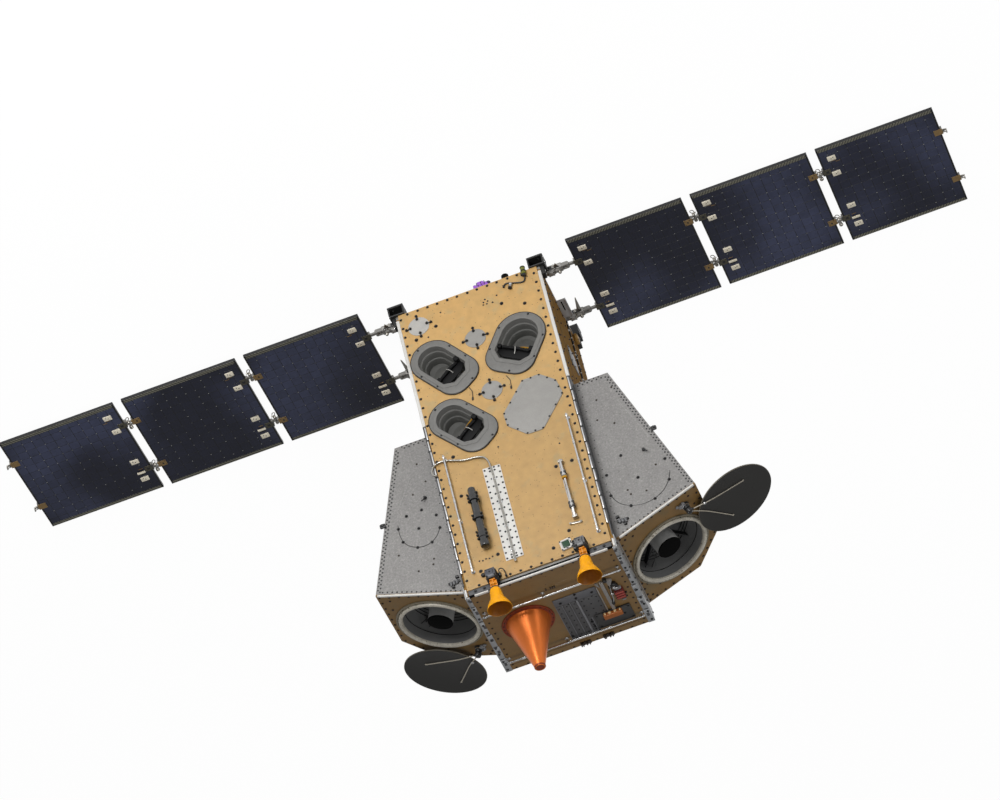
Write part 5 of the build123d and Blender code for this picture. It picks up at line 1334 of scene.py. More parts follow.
def grille_parts():
    """Dark plate in panels: front band, field cut for the feed plate, thin ribs, rows of small bolts."""
    corners = [(-0.27, -0.05), (0.027, -0.05), (0.027, 0.37), (-0.174, 0.37), (-0.174, 0.179), (-0.27, 0.179)]
    field = slab(outline_corners(corners, 0.003, 2), DECK, DECK + 0.0062, 0.0012)
    piece("grille_field", field, "grille", replaces=["deck_plates", "deck_units"])
    band = deck_block(-270, 27, -124, -50, 0, 7.8, 1.2)
    tail = deck_block(-174, 27, 352, 370, 6, 7.8, 0.8)
    strips = [deck_box(x - 0.018, x + 0.018, -0.046, 0.35, 0.006, 0.0072, 0.0006)
        for x in (0.004, -0.045, -0.097)]
    pane = deck_block(-264, -134, -46, 176, 6, 7.2, 0.6)
    piece("grille_band", [band, tail], "grille_band")
    piece("grille_panes", [pane, *strips], "grille")
    ribs = [deck_box(x - w, x + w, -0.05, 0.352, 0.006, h, 0.0008) for x, w,
        h in ((-0.0185, 0.002, 0.0095), (-0.072, 0.002, 0.0095), (-0.122, 0.0062, 0.0125),
        (0.0248, 0.0018, 0.009))]
    ribs.append(deck_block(-162, -158, 186, 352, 6, 9, 0.8))
    piece("grille_ribs", ribs, "grille_rib")
    small = [(x, y) for x in (0.008, -0.045, -0.097, -0.149) for y in np.linspace(-0.018, 0.334, 7)]
    small += [(x, y) for x in (-0.198, -0.251) for y in np.linspace(-0.018, 0.16, 4)]
    small += [(x, -0.036) for x in (-0.06, -0.11, -0.17, -0.225)]
    piece("grille_rivets", bolts(0.0042, 0.0042, small, DECK + 0.0066), "black", slot="deck_dark")
    large = [(-0.017, -0.077), (-0.127, -0.118), (-0.125, -0.075), (-0.237, -0.08), (0.016, 0.321),
        (-0.008, 0.361), (-0.03, 0.361), (-0.071, 0.361), (-0.121, 0.361), (-0.165, 0.361), (-0.152, 0.3),
        (-0.148, 0.24)]
    piece("grille_bolts", bolts(0.0074, 0.008, large, DECK + 0.0072), "black", slot="deck_dark")
    edge = deck_block(-280.5, -273.5, -109, 178, 0, 10, 1.2)
    piece("grille_edge", edge, "bar_silver", slot="deck_dark")


def feed_parts():
    """Near-black plate with the copper block, its four contacts painted pale as a highlight on lit copper, and
    a few fittings.
    """
    plate = deck_block(-426, -176, 180, 344, 0, 11.5, 2)
    lip = [deck_box(-0.426, -0.176, y - 0.003, y + 0.003, 0.011, 0.0135, 0.001) for y in (0.186, 0.338)]
    piece("feed_plate", [plate, *lip], "feed")
    body = slab(rectangle(0.065, 0.024, 0.006, 3), DECK + 0.011, DECK + 0.041, 0.004)
    step = deck_block(-65, 65, 20, 34, 11, 26, 3)
    piece("feed_block", moved([body, step], (-0.3, 0.207, 0)), "feed_block")
    # painted highlight: pale caps standing for the lit front faces of the copper contacts
    caps = [deck_box(x - w, x + w, 0.175, 0.185, 0.018, 0.034, 0.003) for x,
        w in ((-0.353, 0.006), (-0.32, 0.009), (-0.282, 0.01), (-0.249, 0.007))]
    piece("feed_contacts", caps, "contact")
    spots = [(-0.412, 0.196), (-0.412, 0.328), (-0.19, 0.196), (-0.19, 0.328), (-0.372, 0.262), (-0.228, 0.258)]
    piece("feed_bolts", bolts(0.006, 0.006, spots, DECK + 0.0112), "black", slot="deck_dark")


def switch_parts():
    """Ribbed red block on a steel foot, knobs before it, flat bar with gussets and the thin rod beside it."""
    red = deck_block(-436, -372, -25, 66, 0, 36, 3)
    piece("switch_block", red, "red")
    ribs = [deck_box(-0.434, -0.374, y, y + 0.017, 0.034, 0.042, 0.003) for y in (-0.021, 0.006, 0.033)]
    piece("switch_ribs", ribs, "red_rib")
    foot = joined(deck_block(-430, -378, 66, 82, 0, 20, 3), deck_block(-424, -396, 116, 126, 0, 8, 2),
        deck_block(-428, -380, -44, -26, 0, 22, 3))
    piece("switch_foot", foot, "bracket_grey")
    screws = [(-0.437, 0.074, DECK + 0.016), (-0.372, 0.074, DECK + 0.012), (-0.44, 0.052, DECK)]
    piece("switch_screws", bolts(0.006, 0.008, screws), "black", slot="dark_fitting")
    dark = joined(moved(spun([(20, 0), (22, 3), (22, 20), (18, 24), (10, 26)], 24), (-0.389, -0.09, DECK)),
        deck_block(-416, -376, -78, -56, 0, 18, 3))
    piece("knob_base", dark, "black", slot="dark_fitting")
    ball = spun([(3, 0), (8.5, 2), (11.5, 7), (12.5, 12), (11.5, 17), (8.5, 21), (3, 24)], 24)
    rod = joined(deck_block(-410.5, -380.5, -58, -42, 10, 24, 3), moved(ball, (-0.386, -0.08, DECK + 0.02)))
    piece("knob", rod, "steel")
    bar = deck_block(-331, -307, -150, 176, 0, 15, 2)
    ridge = deck_block(-323, -315, -150, 176, 14, 20, 1.5)
    gusset = slab(np.array([(-0.35, -0.166), (-0.395, -0.148), (-0.362, -0.074)]), DECK + 0.002, DECK + 0.02,
        0.002)
    wing = slab(np.array([(-0.298, -0.146), (-0.276, -0.15), (-0.298, -0.098)]), DECK + 0.002, DECK + 0.014,
        0.002)
    piece("flat_bar", [bar, ridge, gusset, wing], "bar_silver")
    ends = joined(deck_block(-362, -336, -176, -150, 0, 26, 3), deck_block(-345, -325, 92, 126, 0, 20, 4),
        deck_block(-372, -350, -76, -58, 0, 18, 3))
    piece("rod_ends", ends, "black", slot="dark_fitting")
    thin = bent_tube([(-0.362, -0.07, DECK + 0.013), (-0.354, -0.01, DECK + 0.013),
        (-0.349, 0.06, DECK + 0.013), (-0.338, 0.1, DECK + 0.012)], 0.03, 0.0055, 12, 5)
    piece("thin_rod", [thin, deck_block(-366, -344, -6, 10, 0, 22, 2)], "steel")


def flange_parts():
    """Angle strips along the deck's side edges in short lengths, with bolts and dark clips between them."""
    for label, side in SIDES:
        bits, clips = [], []
        for start, length, x0, x1 in ((-0.47, 0.11, 0.496, 0.52), (-0.356, 0.18, 0.494, 0.524),
                (-0.172, 0.17, 0.496, 0.526), (0.002, 0.15, 0.49, 0.526), (0.156, 0.15, 0.486, 0.528),
                (0.31, 0.16, 0.482, 0.528)):
            bits.append(deck_box(side * x0, side * x1, start, start + length, 0, 0.0048, 0.0012))
            clips.append(deck_box(side * 0.504 - 0.009, side * 0.504 + 0.009, start + 0.3 * length,
                start + 0.52 * length, 0.004, 0.0062, 0.001))
            bits.append(box(side * 0.521, side * 0.5275, start, start + length, 2.402, DECK + 0.0045, 0.0012))
            clips.append(deck_box(side * 0.51 - 0.013, side * 0.51 + 0.013, start + length - 0.002,
                start + length + 0.006, 0, 0.009, 0.0015))
        piece(f"flange_{label}", bits, "flange", replaces=["deck_flanges"] if side > 0 else ())
        piece(f"flange_clips_{label}", clips[:-1], "strip_dark")
        ys = (-0.44, -0.33, -0.21, -0.126, -0.033, 0.066, 0.166, 0.246, 0.34, 0.44)
        spots = [(side * 0.511, y, DECK + 0.0045) for y in ys]
        piece(f"flange_bolts_{label}", bolts(0.0066, 0.008, spots), "black")
        knobs = [on_side(hex_bolt(0.006, 0.007), side, y, z, 0.5272) for y,
            z in zip(np.arange(-0.43, 0.45, 0.146), (2.455, 2.448, 2.46, 2.452, 2.455, 2.448, 2.455))]
        piece(f"flange_side_bolts_{label}", knobs, "black")


def deck_trim():
    """Rows of small bolts on the deck, the pale end profile on the front edge and the clusters at the back."""
    rows = [(s * 0.466, y) for s in (-1, 1) for y in np.arange(-0.39, 0.44, 0.0668)]
    rows += [(x, -0.452) for x in np.arange(-0.44, 0.46, 0.0735)]
    rows += [(x, 0.458) for x in np.arange(-0.45, 0.46, 0.082)]
    piece("deck_bolts", bolts(0.0056, 0.005, rows, DECK), "rust_dark")
    seeds = np.random.default_rng(11)
    marks = [(x, y) for x, y in zip(seeds.uniform(-0.45, 0.45, 46), seeds.uniform(-0.43, 0.43, 46))
        if not (-0.44 < x < 0.42 and -0.18 < y < 0.38)]
    piece("deck_rivets", rivets(0.003, 0.0014, marks, DECK), "rust_dark")
    bar = block(-335, 352, -478.5, -462, 2490.5, 2502.5, 2)
    short = [box(s * 0.342, s * 0.462, -0.474, -0.456, 2.493, 2.504, 0.0015) for s in (-1, 1)]
    corner = [box(s * 0.506, s * 0.52, -0.477, -0.456, 2.436, 2.496, 0.002) for s in (-1, 1)]
    piece("end_profile", [bar, *short, *corner], "white")
    # painted shade: a black band standing for the shaded gap under the pale end profile
    dark = joined(block(-498, 498, -472.5, -456, 2474, 2499, 1))
    piece("end_gap", dark, "void")
    plates = [box(s * 0.345, s * 0.497, -0.4765, -0.456, 2.456, 2.492, 0.002) for s in (-1, 1)]
    piece("end_plates", plates, "strip_dark", slot="cover_grey")
    spots = [(s * x, 2.474, 0.0065) for s in (-1, 1) for x in (0.385, 0.448)]
    front_bolts("end_bolts", 0.0085, 0.008, spots)
    lumps = []
    for x0, x1 in ((-0.08, -0.009), (-0.243, -0.168)):
        for step, x in enumerate(np.arange(x0, x1, 0.0125)):
            high = 0.01 + 0.008 * ((step * 7) % 3)
            lumps.append(deck_box(x, x + 0.01, 0.432 - 0.004 * (step % 2), 0.455, 0, high, 0.002))
        lumps.append(deck_box(x0, x1 + 0.004, 0.44, 0.468, 0, 0.008, 0.002))
        lumps += [deck_box(x, x + 0.008, 0.466, 0.48, -0.006, 0.01, 0.002) for x in (x0 + 0.01, x1 - 0.016)]
    piece("back_clusters", lumps, "rust_dark")
    seam = [deck_block(-478, 478, 408.5, 411, 0, 1.2, 0.4)]
    front = [deck_box(x, x + 0.01, -0.282, -0.268, 0, 0.012, 0.002) for x in (-0.04, -0.026, -0.012, 0.02)]
    piece("deck_seam", [*seam, *front], "rust_dark")


horn_parts("horn_right", 1)
horn_parts("horn_left", -1)
bracket_parts()
cone_parts()
grille_parts()
feed_parts()
switch_parts()
flange_parts()
deck_trim()


# ---- pods ----
POD_FRONT, POD_BACK = -0.357, 0.443
APERTURE = {1: (0.307, 0.016), -1: (0.297, 0.077)}     # slope and y of the aperture's centre, per side


def zigzag(start, end, pitch, gap):
    """Two staggered rows of points from start to end, gap apart."""
    start, end = np.array(start, float), np.array(end, float)
    way = end - start
    length = np.linalg.norm(way)
    way /= length
    across = np.array((-way[1], way[0]))
    along = np.arange(0.0, length, pitch)
    swing = np.where(np.arange(len(along)) % 2, 1, -1) * gap / 2
    return start + along[:, None] * way + swing[:, None] * across


# columns, all (x, z): bolts, scribed arc, hook, two ends of the crease, small knobs on the outer edge
POD_MARKS = {-1: (((-0.698, 1.741), (-0.572, 1.855), (-0.564, 2.024), (-0.675, 2.155), (-0.84, 2.164),
    (-0.964, 2.056), (-0.974, 1.885), (-0.769, 1.956)), ((-0.562, 1.99), (-0.572, 2.05), (-0.608, 2.112),
    (-0.675, 2.155), (-0.758, 2.176), (-0.84, 2.164), (-0.914, 2.122), (-0.964, 2.056), (-0.984, 1.99)),
    (-0.855, 1.76), ((-0.78, 1.299), (-0.917, 1.667)), ((-0.958, 1.622),)),
    1: (((0.792, 1.621), (0.683, 1.613), (0.595, 1.693), (0.865, 1.7), (0.731, 1.75), (0.592, 1.801),
    (0.855, 1.814), (0.666, 1.892), (0.768, 1.895)), ((0.862, 1.668), (0.868, 1.74), (0.855, 1.814),
    (0.822, 1.862), (0.768, 1.895), (0.715, 1.904), (0.666, 1.892), (0.622, 1.856), (0.592, 1.801)),
    (0.64, 1.53), ((0.7, 1.33), (0.835, 1.56)), ((0.962, 1.64),)), }


def pod_fronts():
    """Rivets along the edges of each pod's front wall, its bolts, scribed arc, hook, cans and pale edge bar."""
    for label, side in SIDES:
        def add(part, shape, finish, **more):
            piece(f"pod_{part}_{label}", on_front(shape, y=POD_FRONT), finish, **more)
        marks, arc, hook_at, crease_ends, knobs = POD_MARKS[side]
        inner, top, outer_top, outer_low = 0.545, 1.075, 0.748, 1.106
        rows = [zigzag((side * inner, top - 0.006), (side * (outer_top - 0.03), top - 0.006), 0.0165, 0.016),
            zigzag((side * (outer_top - 0.002), top + 0.006), (side * (outer_low - 0.01), 2.142), 0.0152,
            0.016), zigzag((side * (inner + 0.02), 2.35), (side * (outer_low - 0.022), 2.15), 0.017, 0.018)]
        spots = np.vstack(rows)
        add("rivets", rivets(0.0064, 0.003, spots), "black", slot="pod_grey")
        few = zigzag((side * (inner + 0.004), top + 0.04), (side * (inner + 0.004), 2.315), 0.062, 0.01)
        add("dots", rivets(0.0042, 0.0022, few), "black", slot="pod_grey")
        add("bolts", bolts(0.008, 0.011, marks), "black")
        flecks = [(side * x, z, 0) for x, z in ((0.681, 2.025), (0.694, 2.066), (0.76, 1.18), (0.64, 1.24),
            (0.905, 1.905), (0.715, 1.47), (0.8, 2.08), (0.61, 1.4))]
        add("flecks", bolts(0.0052, 0.006, flecks), "rust_dark", slot="foot_black")
        arc = [(x, POD_FRONT - 0.0004, z) for x, z in arc]
        piece(f"pod_arc_{label}", bent_tube(arc, 0.03, 0.0022, 6, 4), "black", slot="pod_grey")
        x, z = hook_at
        hook = [(x, POD_FRONT + 0.004, z), (x, POD_FRONT - 0.02, z + 0.007),
            (x + side * 0.01, POD_FRONT - 0.026, z + 0.025), (x + side * 0.026, POD_FRONT - 0.022, z + 0.029)]
        knob = spun([(12, 0), (13, 3), (9, 6), (9, 18), (5, 21)], 16)
        piece(f"pod_hook_{label}", [bent_tube(hook, 0.012, 0.0042, 10), on_front(knob, x, z, y=POD_FRONT)],
            "dark")
        (x0, z0), (x1, z1) = crease_ends
        crease = slab(np.array([(x0, z0), (x0 + 0.01, z0), (x1 + 0.012, z1), (x1, z1)]), 0.0, 0.0016, 0.0006)
        add("crease", crease, "pod_end")
        bump = [on_front([block(-20, 20, -16, 16, 0, 16, 4), moved(spun([(10, 0), (10, 10), (6, 13)], 14),
            (0, 0, 0.014))], x, z, y=POD_FRONT) for x, z in knobs]
        piece(f"pod_bump_{label}", bump, "dark")
        cans, boxes = [], []
        x, z = (-0.569, 2.23) if side < 0 else (0.56, 2.252)
        for step in range(3):
            can = spun([(6, 0), (8.5, 2), (8.5, 30), (7, 33), (4, 34)], 18)
            cans.append(moved(can, (x + side * (0.004 + 0.021 * step), POD_FRONT - 0.01, z + 0.004 * step),
                (1, 0, 0), (side * 0.15, 0, 1)))
        boxes.append(box(x - side * 0.014, x + side * 0.07, POD_FRONT - 0.012, POD_FRONT + 0.002, z + 0.006,
            z + 0.022, 0.003))
        boxes.append(box(x - 0.012, x + 0.012, POD_FRONT - 0.02, POD_FRONT + 0.002, z - 0.026, z - 0.01, 0.003))
        boxes.append(box(x + side * 0.04 - 0.01, x + side * 0.04 + 0.01, POD_FRONT - 0.018, POD_FRONT + 0.002,
            z + 0.044, z + 0.058, 0.003))
        piece(f"pod_cans_{label}", cans, "bracket_cap")
        piece(f"pod_can_boxes_{label}", boxes, "black", slot="dark_fitting")
        start = np.array((side * 0.545, POD_FRONT - 0.004, 2.3705))
        end = np.array((side * 1.108, POD_FRONT - 0.004, 2.1655))
        bar = box(0.0, np.linalg.norm(end - start), -0.0065, 0.0065, -0.006, 0.0085, 0.0015)
        piece(f"pod_edge_bar_{label}", moved(bar, start, end - start, (0, -1, 0)), "white")


def pod_backs():
    """Bolt rows on the back walls of the pods and a plain access plate with its screws on each."""
    for label, side in SIDES:
        rows = np.vstack((zigzag((side * 0.545, 1.18), (side * 0.545, 2.3), 0.034, 0.012),
            zigzag((side * 0.572, 1.23), (side * 0.886, 2.19), 0.024, 0.012)))
        rows = rows * (-1, 1)
        piece(f"pod_back_rivets_{label}", on_back(rivets(0.0048, 0.0024, rows), y=POD_BACK), "black",
            slot="pod_grey")
        plate = slab(rectangle(0.085, 0.16, 0.02, 4), 0.0, 0.0045, 0.0012)
        piece(f"pod_back_plate_{label}", on_back(plate, side * 0.66, 1.95, POD_BACK), "pod_end")
        screws = [(sx * 0.072, sz, 0.0045) for sx in (-1, 1) for sz in (-0.146, -0.05, 0.05, 0.146)]
        piece(f"pod_back_screws_{label}", on_back(bolts(0.0052, 0.005, screws), side * 0.66, 1.95, POD_BACK),
            "black")


def joint_profiles():
    """White corner rails above the pods; below, the segmented strip, root strips with rivets and clips."""
    rails, segments, clips, rivets, roots = [], [], [], [], []
    for side in (1, -1):
        x0, x1 = sorted((side * 0.5, side * 0.524))
        rails.append(box(x0, x1, -0.472, -0.455, 0.125, 1.052, 0.003))
        z = 1.056
        lengths = (0.118, 0.092, 0.124, 0.1, 0.13, 0.108, 0.122, 0.1, 0.126, 0.112, 0.118)
        for number, length in enumerate(lengths):
            inner = 0.5035 + 0.003 * (number % 2)
            a, b = sorted((side * inner, side * (inner + 0.011)))
            segments.append(box(a, b, -0.4745, -0.458, z + 0.006, min(z + length - 0.006, 2.392), 0.002))
            a, b = sorted((side * (inner - 0.001), side * 0.5235))
            clips.append(box(a, b, -0.472, -0.456, max(z - 0.012, 1.054), z + 0.01, 0.002))
            z += length
        a, b = sorted((side * 0.5145, side * 0.5235))
        roots.append(box(a, b, -0.47, -0.456, 1.056, 2.4, 0.0015))
        a, b = sorted((side * 0.5195, side * 0.5222))
        # grey sheet on the side wall between the front and the pod; its dark colour is partly the grey panel
        # and partly painted shade
        roots.append(box(a, b, -0.456, -0.3575, 1.056, 2.374, 0.0008))
        rivets += [on_side(rivet(0.0042, 0.0022), side, y, z, 0.522) for z in np.arange(1.075, 2.36, 0.0265)
            for y in (-0.44 + 0.012 * (round(z * 1000) % 3), -0.382)]
    piece("corner_rails_white", rails, "white", replaces=["corner_rails"])
    piece("joint_segments", segments, "steel")
    piece("joint_clips", clips, "black")
    piece("root_strips", roots, "strip_dark", slot="pod_grey")
    piece("root_rivets", rivets, "black")


# ---- telescopes ----
def telescope_parts(label, side):
    """Flange, worn raised ring, smooth bowl with thin dark lines deep inside, vanes and the hub with its black
    end, about the aperture axis."""
    def set_on(shape):
        return on_pod_face(shape, side, *APERTURE[side])

    def add(part, shape, finish, **more):
        piece(f"telescope_{label}_{part}", set_on(shape), finish, **more)
    flange = spun([(268, 0), (293.5, 0), (293.5, 9), (292, 11.5), (285, 12), (282, 9.5), (278, 9.5),
        (276.5, 12.5), (268, 12.5), (268, 0)], 128)
    add("flange", flange, "bezel_olive", replaces=[f"telescope_{label}"], smooth=30)
    ring = spun([(247, -20), (276, -20), (276, 15), (273.5, 21.5), (268, 25), (261, 25.8), (255, 24),
        (250.5, 19), (247.5, 11), (247, -20)], 128)
    add("ring", ring, "cream", smooth=30)
    bowl = spun([(247.8, -10), (247, 4), (246.2, -4), (244, -60), (238, -130), (229, -185), (212, -240),
        (184, -290), (138, -325), (80, -334), (0, -336)], 128)
    add("bowl", (bowl[0], bowl[1][:-2]), "bowl", smooth=60)
    bands = [lathe([(r, h), (r, h + 0.0022), (r - 0.0035, h + 0.0022), (r - 0.0035, h), (r, h)], 128)
        for r, h in ((0.244, -0.06), (0.233, -0.163), (0.229, -0.185), (0.223, -0.206))]
    add("baffles", bands, "void", slot="telescope_cream")
    hub = spun([(78.5, -206), (85, -206), (85, -13), (78.5, -13), (78.5, -206)], 72)
    base = spun([(70, -334), (94, -334), (94, -300), (83.5, -270), (83.5, -206), (70, -200)], 48)
    add("hub", [hub, base], "hub", replaces=[f"telescope_hub_{label}"])
    # painted shade: a black disc closes the hub's hollow end just inside its rim
    end = spun([(0, -16), (85.2, -16), (85.5, -14), (85.5, -10.5), (84.2, -7), (81.5, -6), (0, -6)], 72)
    add("hollow", end, "void", slot="lid_grey")
    vanes = []
    for bearing in (45, 135, 225, 315):
        blade = slab(np.array([(0.08, -0.205), (0.236, -0.16), (0.242, -0.12), (0.08, -0.165)]), -0.004, 0.004,
            0.001)
        turn = radians(bearing)
        blade = moved(blade, (0, 0, 0), (1, 0, 0), (0, -1, 0))
        vanes.append(turned(blade, turn))
    stays = [turned(tube([(0.083, s * 0.02, -0.12), (0.24, s * 0.03, -0.1)], 0.0032, 10), radians(b))
        for b in (45, 225) for s in (-1, 1)]
    add("vanes", [*vanes, *stays], "dark", slot="lid_grey")
    add("screws", bolts(0.0034, 0.0034, circle(0.28, 28, 0.0095, 0.1)), "black")


def face_bolts(label, side):
    """Small dark bolts along the edges of the aperture face and a pale joint line along its inner edge."""
    ys = np.arange(-0.335, 0.44, 0.0685)
    spots = [(0.02, y) for y in ys] + [(0.62, y) for y in ys if y < 0.2]
    spots += [(s, -0.337) for s in np.arange(0.075, 0.6, 0.068)]
    spots += [(s, 0.423) for s in np.arange(0.075, 0.41, 0.068)]
    spots += [(0.427 + 0.213 * t - 0.014, 0.443 - 0.226 * t - 0.014) for t in np.linspace(0.06, 0.94, 5)]
    spots += [(0.052, y) for y in np.arange(-0.3, 0.42, 0.137)]
    spots += [(0.56, -0.29), (0.575, -0.18), (0.11, -0.285), (0.13, 0.33), (0.35, 0.345)]
    shape = joined(*[on_pod_face(hex_bolt(0.0062, 0.006), side, slope, y) for slope, y in spots])
    piece(f"face_bolts_{label}", shape, "rust_dark")
    edge = block(0, 792, -4, 4, 0, 4, 1)
    seam = on_pod_face(edge, side, 0.008, -0.353, 0.0, 90.0)
    piece(f"face_seam_{label}", seam, "bar_silver")


# ---- lids ----
# columns: label, side, arm, slope and y of the post, bearing of the open lid
LIDS = (("right", 1, 0.365, 0.1317, 0.3362, 35.8), ("left", -1, 0.374, 0.512, -0.229, 32.2),)


def lid_parts(label, side, arm, slope, y, bearing):
    """Even dish with a thin rolled rim, its slender struts, hub and the fixed post."""
    def set_lid(shape):
        return on_pod_face(shape, side, slope, y, 0.0, bearing)

    def add(part, shape, finish, **more):
        piece(f"lid_{label}_{part}", set_lid(shape), finish, f"{label}_lid", **more)

    disc = spun([(0, 42), (270, 42), (278.5, 42.5), (280.5, 45), (280.5, 48.5), (278.5, 50.5), (274, 51),
        (270, 50), (0, 50)], 128)
    add("dish", moved(disc, (arm, 0, 0)), "lid", replaces=[f"lid_{label}"], smooth=30)
    rim = spun([(279.5, 42), (281.5, 44), (281.5, 49), (279.5, 51.2), (278, 50.8), (279.5, 42)], 128)
    add("rim", moved(rim, (arm, 0, 0)), "lid_rim", smooth=50)
    struts = []
    for s in (-1, 1):
        start = np.array((0.016, s * 0.006, 0.0585))
        knee = np.array((arm * 0.42, s * 0.046, 0.0585))
        end = np.array((arm + 0.02, s * 0.15, 0.056))
        struts.append(bent_tube([start, knee, end], 0.05, 0.0038, 12, 5))
        struts.append(moved(spun([(4, 0), (7, 2), (7, 6), (4, 8)], 16), end + (0, 0, -0.006)))
    add("struts", struts, "strut")
    bulb = spun([(4, 0), (10, 3), (12.5, 9), (11, 15), (5, 19)], 20)
    add("bulb", moved(bulb, (arm * 0.3, 0.036, 0.05)), "steel")
    cap = spun([(9.4, 48), (22, 48), (22, 69), (20.5, 72), (9.4, 73.5), (9.4, 48)], 48)
    clamp = [box(-0.012, 0.03, s * 0.012 - 0.0055, s * 0.012 + 0.0055, 0.052, 0.066, 0.002) for s in (-1, 1)]
    add("hub", [cap, *clamp], "dark", slot="lid_grey")
    add("pins", bolts(0.0026, 0.003, circle(0.0165, 6, 0.0712)), "steel")
    spots = [(arm + r * cos(t), r * sin(t), 0.0498) for r, t in ((0.135, 0.4), (0.14, 3.6), (0.232, 2.2),
        (0.235, 5.3))]
    add("rivets", rivets(0.0032, 0.0018, spots), "black")
    post = spun([(0, 0), (31, 0), (31, 4.5), (24.5, 7), (24, 30), (21.5, 38), (9.2, 38), (8.8, 73.5),
        (7.2, 75.2), (0, 75.2)], 40)
    piece(f"lid_{label}_post", set_lid(post), "dark", slot="dark_fitting", replaces=[f"lid_post_{label}"])
    fit = [block(-50, -20, -16, 16, 0, 16, 3), block(-74, -52, -10, 10, 0, 12, 3),
        block(-40, -16, 18, 34, 0, 20, 3)]
    wire = bent_tube([(-0.06, 0.0, 0.012), (-0.044, 0.02, 0.022), (-0.02, 0.026, 0.026), (-0.01, 0.018, 0.02)],
        0.012, 0.0034, 10)
    piece(f"lid_{label}_fittings", set_lid([*fit, wire]), "bracket_grey")
    band = spun([(24, 12), (26.2, 13), (26.2, 20), (24, 21)], 40)
    piece(f"lid_{label}_band", set_lid(band), "steel")


pod_fronts()
pod_backs()
joint_profiles()
for label, side in SIDES:
    telescope_parts(label, side)
    face_bolts(label, side)
for entry in LIDS:
    lid_parts(*entry)


# ---- wings ----
WING_MIDDLE = -0.048
HINGE_LINES = (WING_MIDDLE - 0.27, WING_MIDDLE + 0.27)
WING_BODIES = ("inner", "middle", "outer")
FOLD_AXES = (0.022, 0.058)           # height of the axis between panels 1-2 and 2-3


def hinge_finish(name, side, start):
    """Hinge metal: olive leaf at the panel's inner end, gold-brown leaf at its outer end, silver knuckles."""
    f = Finish(name)
    along = f.axis("X") * side - start
    top = f.axis("Z").fade(0.0504, 0.051)
    inner = top * (1 - along.fade(0.049, 0.05)) * along.fade(-0.0125, -0.012)
    outer = top * along.fade(0.782, 0.783) * (1 - along.fade(0.8445, 0.845))
    cloud = f.noise(0.012, 3.0)
    fine = f.noise(0.003, 2.0)
    shade = f.mix(rgb(150, 148, 143), rgb(84, 80, 66), inner)
    shade = f.mix(shade, rgb(146, 118, 74), outer)
    shade = f.scaled(shade, 1 + 0.7 * (cloud - 0.5) + 0.3 * (fine - 0.5))
    return f.surface(shade, 0.38 + 0.2 * (cloud - 0.5), 0.2, f.bump(fine, 0.0002))


def wing_set(shape, side):
    """Shape of the +X wing, mirrored for the other side with its faces turned to match."""
    points, faces = one(shape)
    if side > 0:
        return points, faces
    return points * (-1, 1, 1), [face[::-1] for face in faces]


def leaf_marks(edge, inward, y, outline_size=(0.02, 0.024)):
    """Dark centre plate and four small pins of a hinge leaf, edge being the panel's end."""
    middle = edge - inward * 0.024
    width, depth = outline_size
    plate = box(middle - width / 2, middle + width / 2, y - depth / 2, y + depth / 2, 0.0536, 0.0556, 0.0008)
    pins = bolts(0.0024, 0.0022, [(middle + a * 0.017, y + b * 0.021, 0.0538) for a in (-1, 1)
        for b in (-1, 1)])
    return joined(plate, pins)


def fold_mechanism(axis_x, axis_z, y):
    """Coils round a fold's pin, a cranked lever and a small loop, all inside 28 mm of the axis."""
    def round_axis(profile, sides=20):
        return moved(lathe(profile, sides), (axis_x, y, axis_z), (1, 0, 0), (0, 1, 0))
    coil = []
    for start in (0.0205, -0.0345):
        turns = [(0.0075, start)]
        for wind in range(4):
            low = start + 0.0035 * wind
            turns += [(0.0105, low + 0.0004), (0.012, low + 0.00175), (0.0105, low + 0.0031)]
        turns.append((0.0075, start + 0.014))
        coil.append(round_axis(turns))
    lever = box(axis_x + 0.004, axis_x + 0.02, y - 0.0445, y - 0.0365, axis_z - 0.005, axis_z + 0.005, 0.002)
    loop = bent_tube([(axis_x + 0.012, y - 0.04, axis_z), (axis_x - 0.004, y - 0.048, axis_z + 0.006),
        (axis_x - 0.018, y - 0.066, axis_z + 0.004), (axis_x - 0.012, y - 0.078, axis_z),
        (axis_x + 0.004, y - 0.068, axis_z - 0.004), (axis_x + 0.01, y - 0.048, axis_z - 0.004)], 0.01, 0.003,
        8)
    stub = round_axis([(0.009, 0.0335), (0.014, 0.035), (0.014, 0.044), (0.01, 0.047), (0.004, 0.0475)])
    return joined(*coil, lever, loop, stub)


